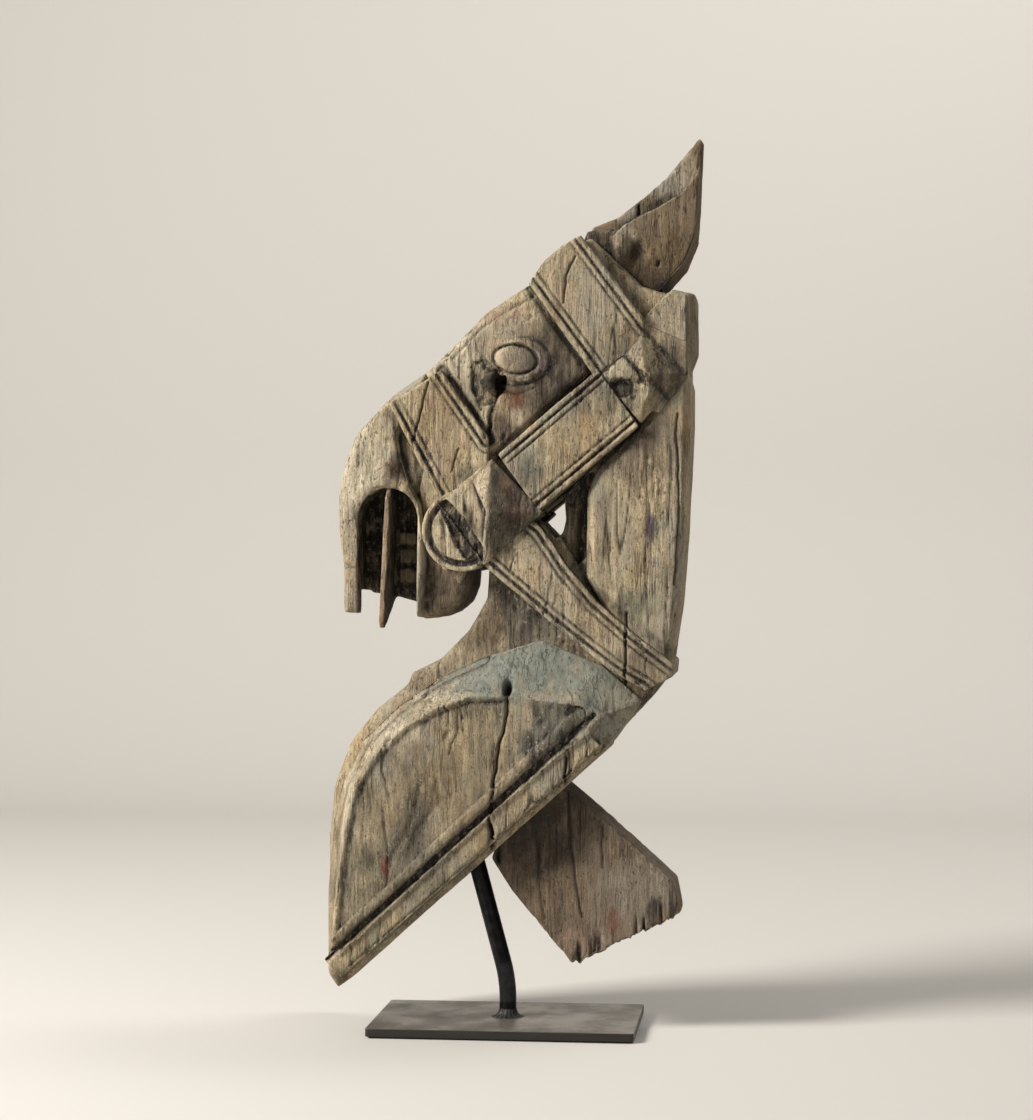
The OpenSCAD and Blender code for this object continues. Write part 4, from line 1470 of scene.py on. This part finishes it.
class HORSE_OT_tongue(bpy.types.Operator):
    """Cut the thin tongue slat"""

    bl_idname = "horse.tongue"
    bl_label = "Tongue"

    def execute(self, context):
        bm, low, high = boxed("tongue")
        bmesh.ops.subdivide_edges(bm, edges=bm.edges, cuts=23, use_grid_fill=True)
        for vert in bm.verts:
            y = vert.co.y / MM
            foot = np.interp(y, (-47, -44, -38, -30, 0, 47), (293, 288.5, 289, 292, 308, 316)) * MM
            head = min(high.z, np.interp(y, (-47, -43, -38), (381, 386, 400)) * MM)
            share = (high.z - vert.co.z) / (high.z - low.z)
            vert.co.z = head - share * (head - foot)
            vert.co.x += (vert.co.z - 0.345) * 0.05 + 1.0 * MM
        bmesh.ops.recalc_face_normals(bm, faces=bm.faces)
        piece = carve("tongue_slat", [bm], TONGUE_CELL)
        material = timber_material("tongue_wood", (0.37, 0.285, 0.19), (0.21, 0.15, 0.095),
                                   0.3, 0.4, 0.1)
        finish_timber(piece, material, self.dark, furrow=0.4, slot="tongue_timber", node="tongue")
        return {"FINISHED"}

    # Painted shade on the slat's right-facing side and deeper in the mouth.
    def dark(self, x, level, z, normals):
        return 0.75 * smoothstep(0.3, 0.8, normals[:, 0]) + 0.5 * smoothstep(44, 20, level)


class HORSE_OT_stem(bpy.types.Operator):
    """Bend the round bar"""

    bl_idname = "horse.stem"
    bl_label = "Stem"

    def execute(self, context):
        foot, lean, radius, _ = stem_line()
        tip = peg_tip()
        angle = math.atan2(-lean.x, lean.z)
        knee = tip - lean * (tip.x / lean.x)
        tangent = BEND_RADIUS * math.tan(angle / 2)
        bm = bmesh.new()
        bmesh.ops.create_circle(bm, cap_ends=False, segments=48, radius=radius)
        bmesh.ops.translate(bm, vec=foot, verts=bm.verts)
        self.run(bm, Vector((0, 0, knee.z - tangent - foot.z)), 6)
        ring = self.top(bm)
        bmesh.ops.spin(bm, geom=ring, cent=(-BEND_RADIUS, 0, knee.z - tangent), axis=(0, -1, 0),
                       angle=angle, steps=14, use_merge=False)
        self.run(bm, lean * ((tip - knee).length - tangent), 18)
        bmesh.ops.holes_fill(bm, edges=[e for e in bm.edges if e.is_boundary])
        bmesh.ops.recalc_face_normals(bm, faces=bm.faces)
        piece = as_object(bm, "stem")
        rims = piece.modifiers.new("rims", "BEVEL")
        rims.width = BAR_BEVEL
        rims.segments = 2
        rims.limit_method = "ANGLE"
        apply_modifiers(piece)
        finish = steel_material("black_bar", stand_props().black, 0.42, 160.0, 0.0)
        finish.node_tree.nodes["Principled BSDF"].inputs["Specular IOR Level"].default_value = 0.3
        finish_stand(piece, finish, "black_steel", "stem_rod")
        return {"FINISHED"}

    def top(self, bm):
        """The open rim furthest along the bar."""
        rims = [e for e in bm.edges if e.is_boundary or not e.link_faces]
        highest = max(sum(v.co.z for v in e.verts) for e in rims)
        return [e for e in rims if sum(v.co.z for v in e.verts) > highest - 0.008]

    def run(self, bm, vec, steps):
        """Draws the open rim out in a straight line."""
        step = vec / steps
        for _ in range(steps):
            grown = bmesh.ops.extrude_edge_only(bm, edges=self.top(bm))["geom"]
            verts = [v for v in grown if isinstance(v, bmesh.types.BMVert)]
            bmesh.ops.translate(bm, vec=step, verts=verts)


class HORSE_OT_weld(bpy.types.Operator):
    """Lay the weld bead round the bar's foot"""

    bl_idname = "horse.weld"
    bl_label = "Foot weld"

    def execute(self, context):
        low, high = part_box("foot_weld")
        leg = high[0]
        radius = stem_line()[2]
        height = high[2] - low[2]
        bm = bmesh.new()
        profile = [bm.verts.new((radius - 0.5 * MM, 0, low[2])), bm.verts.new((leg, 0, low[2]))]
        for i in range(1, 8):
            a = math.radians(90 * i / 8)
            profile.append(bm.verts.new((radius + (leg - radius) * (1 - math.sin(a)), 0,
                                         low[2] + height * (1 - math.cos(a)))))
        profile.append(bm.verts.new((radius - 0.5 * MM, 0, high[2])))
        face = bm.faces.new(profile)
        bmesh.ops.spin(bm, geom=[face], cent=(0, 0, 0), axis=(0, 0, 1), angle=2 * math.pi,
                       steps=96, use_merge=True)
        bmesh.ops.remove_doubles(bm, verts=bm.verts, dist=1e-6)
        inner = [f for f in bm.faces if abs(f.normal.z) < 0.01 and len(f.verts) > 4]
        bmesh.ops.delete(bm, geom=inner, context="FACES_ONLY")
        bmesh.ops.recalc_face_normals(bm, faces=bm.faces)
        piece = as_object(bm, "weld_bead")
        points, normals, _ = read_mesh(piece.data)
        turn = np.arctan2(points[:, 1], points[:, 0])
        out = np.hypot(points[:, 0], points[:, 1])
        ripple = 0.3 * np.sin(turn * 17 + 2 * np.sin(turn)) + layered(points, (4, 4, 4), 2) - 0.5
        lift = 0.6 * MM * ripple * (points[:, 2] > low[2] + 1e-5) * (out > radius)
        points += normals * np.minimum(lift, 0.3 * MM)[:, None]
        points[:, 2] = np.maximum(points[:, 2], low[2])
        write_points(piece.data, points)
        finish = steel_material("weld_steel", (0.014, 0.0125, 0.011), 0.5, 260.0, 0.0)
        finish_stand(piece, finish, "weld_steel", "foot_weld")
        return {"FINISHED"}


def cut_sheet(node, name, corner, edge, segments):
    """A flat sheet in its CAD box, with cut corners and softened edges."""
    bm = boxed(node)[0]
    upright = [e for e in bm.edges if abs(e.verts[0].co.z - e.verts[1].co.z) > 1e-5]
    bmesh.ops.bevel(bm, geom=upright, offset=corner, segments=2, profile=0.5, affect="EDGES",
                    material=-1)
    bmesh.ops.bevel(bm, geom=bm.edges, offset=edge, segments=segments, profile=0.5,
                    affect="EDGES", material=-1)
    return as_object(bm, name)


class HORSE_OT_plate(bpy.types.Operator):
    """Cut the steel plate"""

    bl_idname = "horse.plate"
    bl_label = "Base plate"

    def execute(self, context):
        props = stand_props()
        piece = cut_sheet("base_plate", "plate", props.corner, props.edge, 3)
        normals = read_mesh(piece.data)[1]
        # Marks the plate's side faces for painted shade.
        write_mask(piece.data, "cut_edge", smoothstep(0.75, 0.35, normals[:, 2]))
        finish = steel_material("waxed_steel", props.steel, 0.42, 30.0, 0.4)
        finish_stand(piece, finish, "plate_steel", "base_plate")
        return {"FINISHED"}


class HORSE_OT_felt(bpy.types.Operator):
    """Cut the felt under the plate"""

    bl_idname = "horse.felt"
    bl_label = "Felt"

    def execute(self, context):
        piece = cut_sheet("felt_sheet", "felt", stand_props().corner, 0.25 * MM, 2)
        finish_stand(piece, felt_material(), "felt", "felt_sheet")
        return {"FINISHED"}


class HORSE_OT_stage(bpy.types.Operator):
    """Set up the camera, the floor and the lights"""

    bl_idname = "horse.stage"
    bl_label = "Stage"

    def execute(self, context):
        props = context.scene.horse_stage
        self.camera(context)
        self.floor(props)
        self.light("key", (-1.7, -1.1, 1.5), (0, 0, 0.33), 0.7, props.key_power, (1.0, 0.97, 0.93))
        self.light("fill", (1.4, -1.8, 0.9), (0, 0, 0.33), 1.2, props.fill_power, (0.94, 0.97, 1.0))
        self.light("wall", (0.9, 0.5, 2.2), (0.3, 2.0, 0.7), 0.8, props.wall_power,
                   (1.0, 0.98, 0.96))
        world = bpy.data.worlds.new("room")
        world.use_nodes = True
        light = world.node_tree.nodes["Background"]
        light.inputs["Color"].default_value = ROOM_COLOUR
        light.inputs["Strength"].default_value = ROOM_STRENGTH
        context.scene.world = world
        context.scene.view_settings.view_transform = "Standard"
        return {"FINISHED"}

    def camera(self, context):
        lens = bpy.data.cameras.new("camera")
        lens.lens = LENS_MM
        lens.sensor_width = SENSOR_MM
        camera = bpy.data.objects.new("camera", lens)
        camera.location = CAMERA_PLACE
        camera.rotation_euler = (math.radians(90), 0, math.radians(CAMERA_TURN))
        context.collection.objects.link(camera)
        context.scene.camera = camera

    def floor(self, props):
        """A floor that sweeps up into a plain backdrop."""
        bm = bmesh.new()
        radius, depth, height, width = 0.5, 2.0, 3.0, 3.5
        path = [(-3.0, 0), (depth - radius, 0)]
        path += [(depth - radius + radius * math.sin(a), radius - radius * math.cos(a))
                 for a in (math.pi / 2 * i / 12 for i in range(1, 13))]
        path.append((depth, height))
        verts = [bm.verts.new((-width, y, z)) for y, z in path]
        edges = [bm.edges.new(pair) for pair in zip(verts, verts[1:])]
        grown = bmesh.ops.extrude_edge_only(bm, edges=edges)["geom"]
        moved = [v for v in grown if isinstance(v, bmesh.types.BMVert)]
        bmesh.ops.translate(bm, vec=(2 * width, 0, 0), verts=moved)
        bmesh.ops.recalc_face_normals(bm, faces=bm.faces)
        sweep = as_object(bm, "sweep")
        material, _, shader = new_material("floor", 0.9)
        shader.inputs["Base Color"].default_value = (*props.floor, 1)
        sweep.data.materials.append(material)
        sweep.data.shade_smooth()

    def light(self, name, place, target, size, power, colour):
        data = bpy.data.lights.new(name, "AREA")
        data.shape = "SQUARE"
        data.size = size
        data.energy = power
        data.color = colour
        lamp = bpy.data.objects.new(name, data)
        lamp.location = place
        aim = Vector(target) - Vector(place)
        lamp.rotation_euler = aim.to_track_quat("-Z", "Y").to_euler()
        bpy.context.collection.objects.link(lamp)


OPERATORS = (HORSE_OT_stage, HORSE_OT_muzzle, HORSE_OT_face, HORSE_OT_straps, HORSE_OT_bosses,
             HORSE_OT_ear, HORSE_OT_neck, HORSE_OT_shoulder, HORSE_OT_tenon, HORSE_OT_tongue,
             HORSE_OT_stem, HORSE_OT_weld, HORSE_OT_plate, HORSE_OT_felt)


class HORSE_PT_panel(bpy.types.Panel):
    """Lists the pieces of the carving and its stand"""

    bl_idname = "HORSE_PT_panel"
    bl_label = "Horse head"
    bl_space_type = "VIEW_3D"
    bl_region_type = "UI"
    bl_category = "Carving"

    def draw(self, context):
        for operator in OPERATORS:
            self.layout.operator(operator.bl_idname)


PROPERTY_GROUPS = {"horse_timber": TimberProps, "horse_stand": StandProps,
                   "horse_stage": StageProps}
CLASSES = (*PROPERTY_GROUPS.values(), *OPERATORS, HORSE_PT_panel)


def register():
    for item in CLASSES:
        bpy.utils.register_class(item)
    for name, group in PROPERTY_GROUPS.items():
        setattr(bpy.types.Scene, name, PointerProperty(type=group))


def unregister():
    for name in PROPERTY_GROUPS:
        delattr(bpy.types.Scene, name)
    for item in reversed(CLASSES):
        bpy.utils.unregister_class(item)


def main():
    register()
    for operator in OPERATORS:
        group, _, name = operator.bl_idname.partition(".")
        getattr(getattr(bpy.ops, group), name)()


if __name__ == "__main__":
    main()
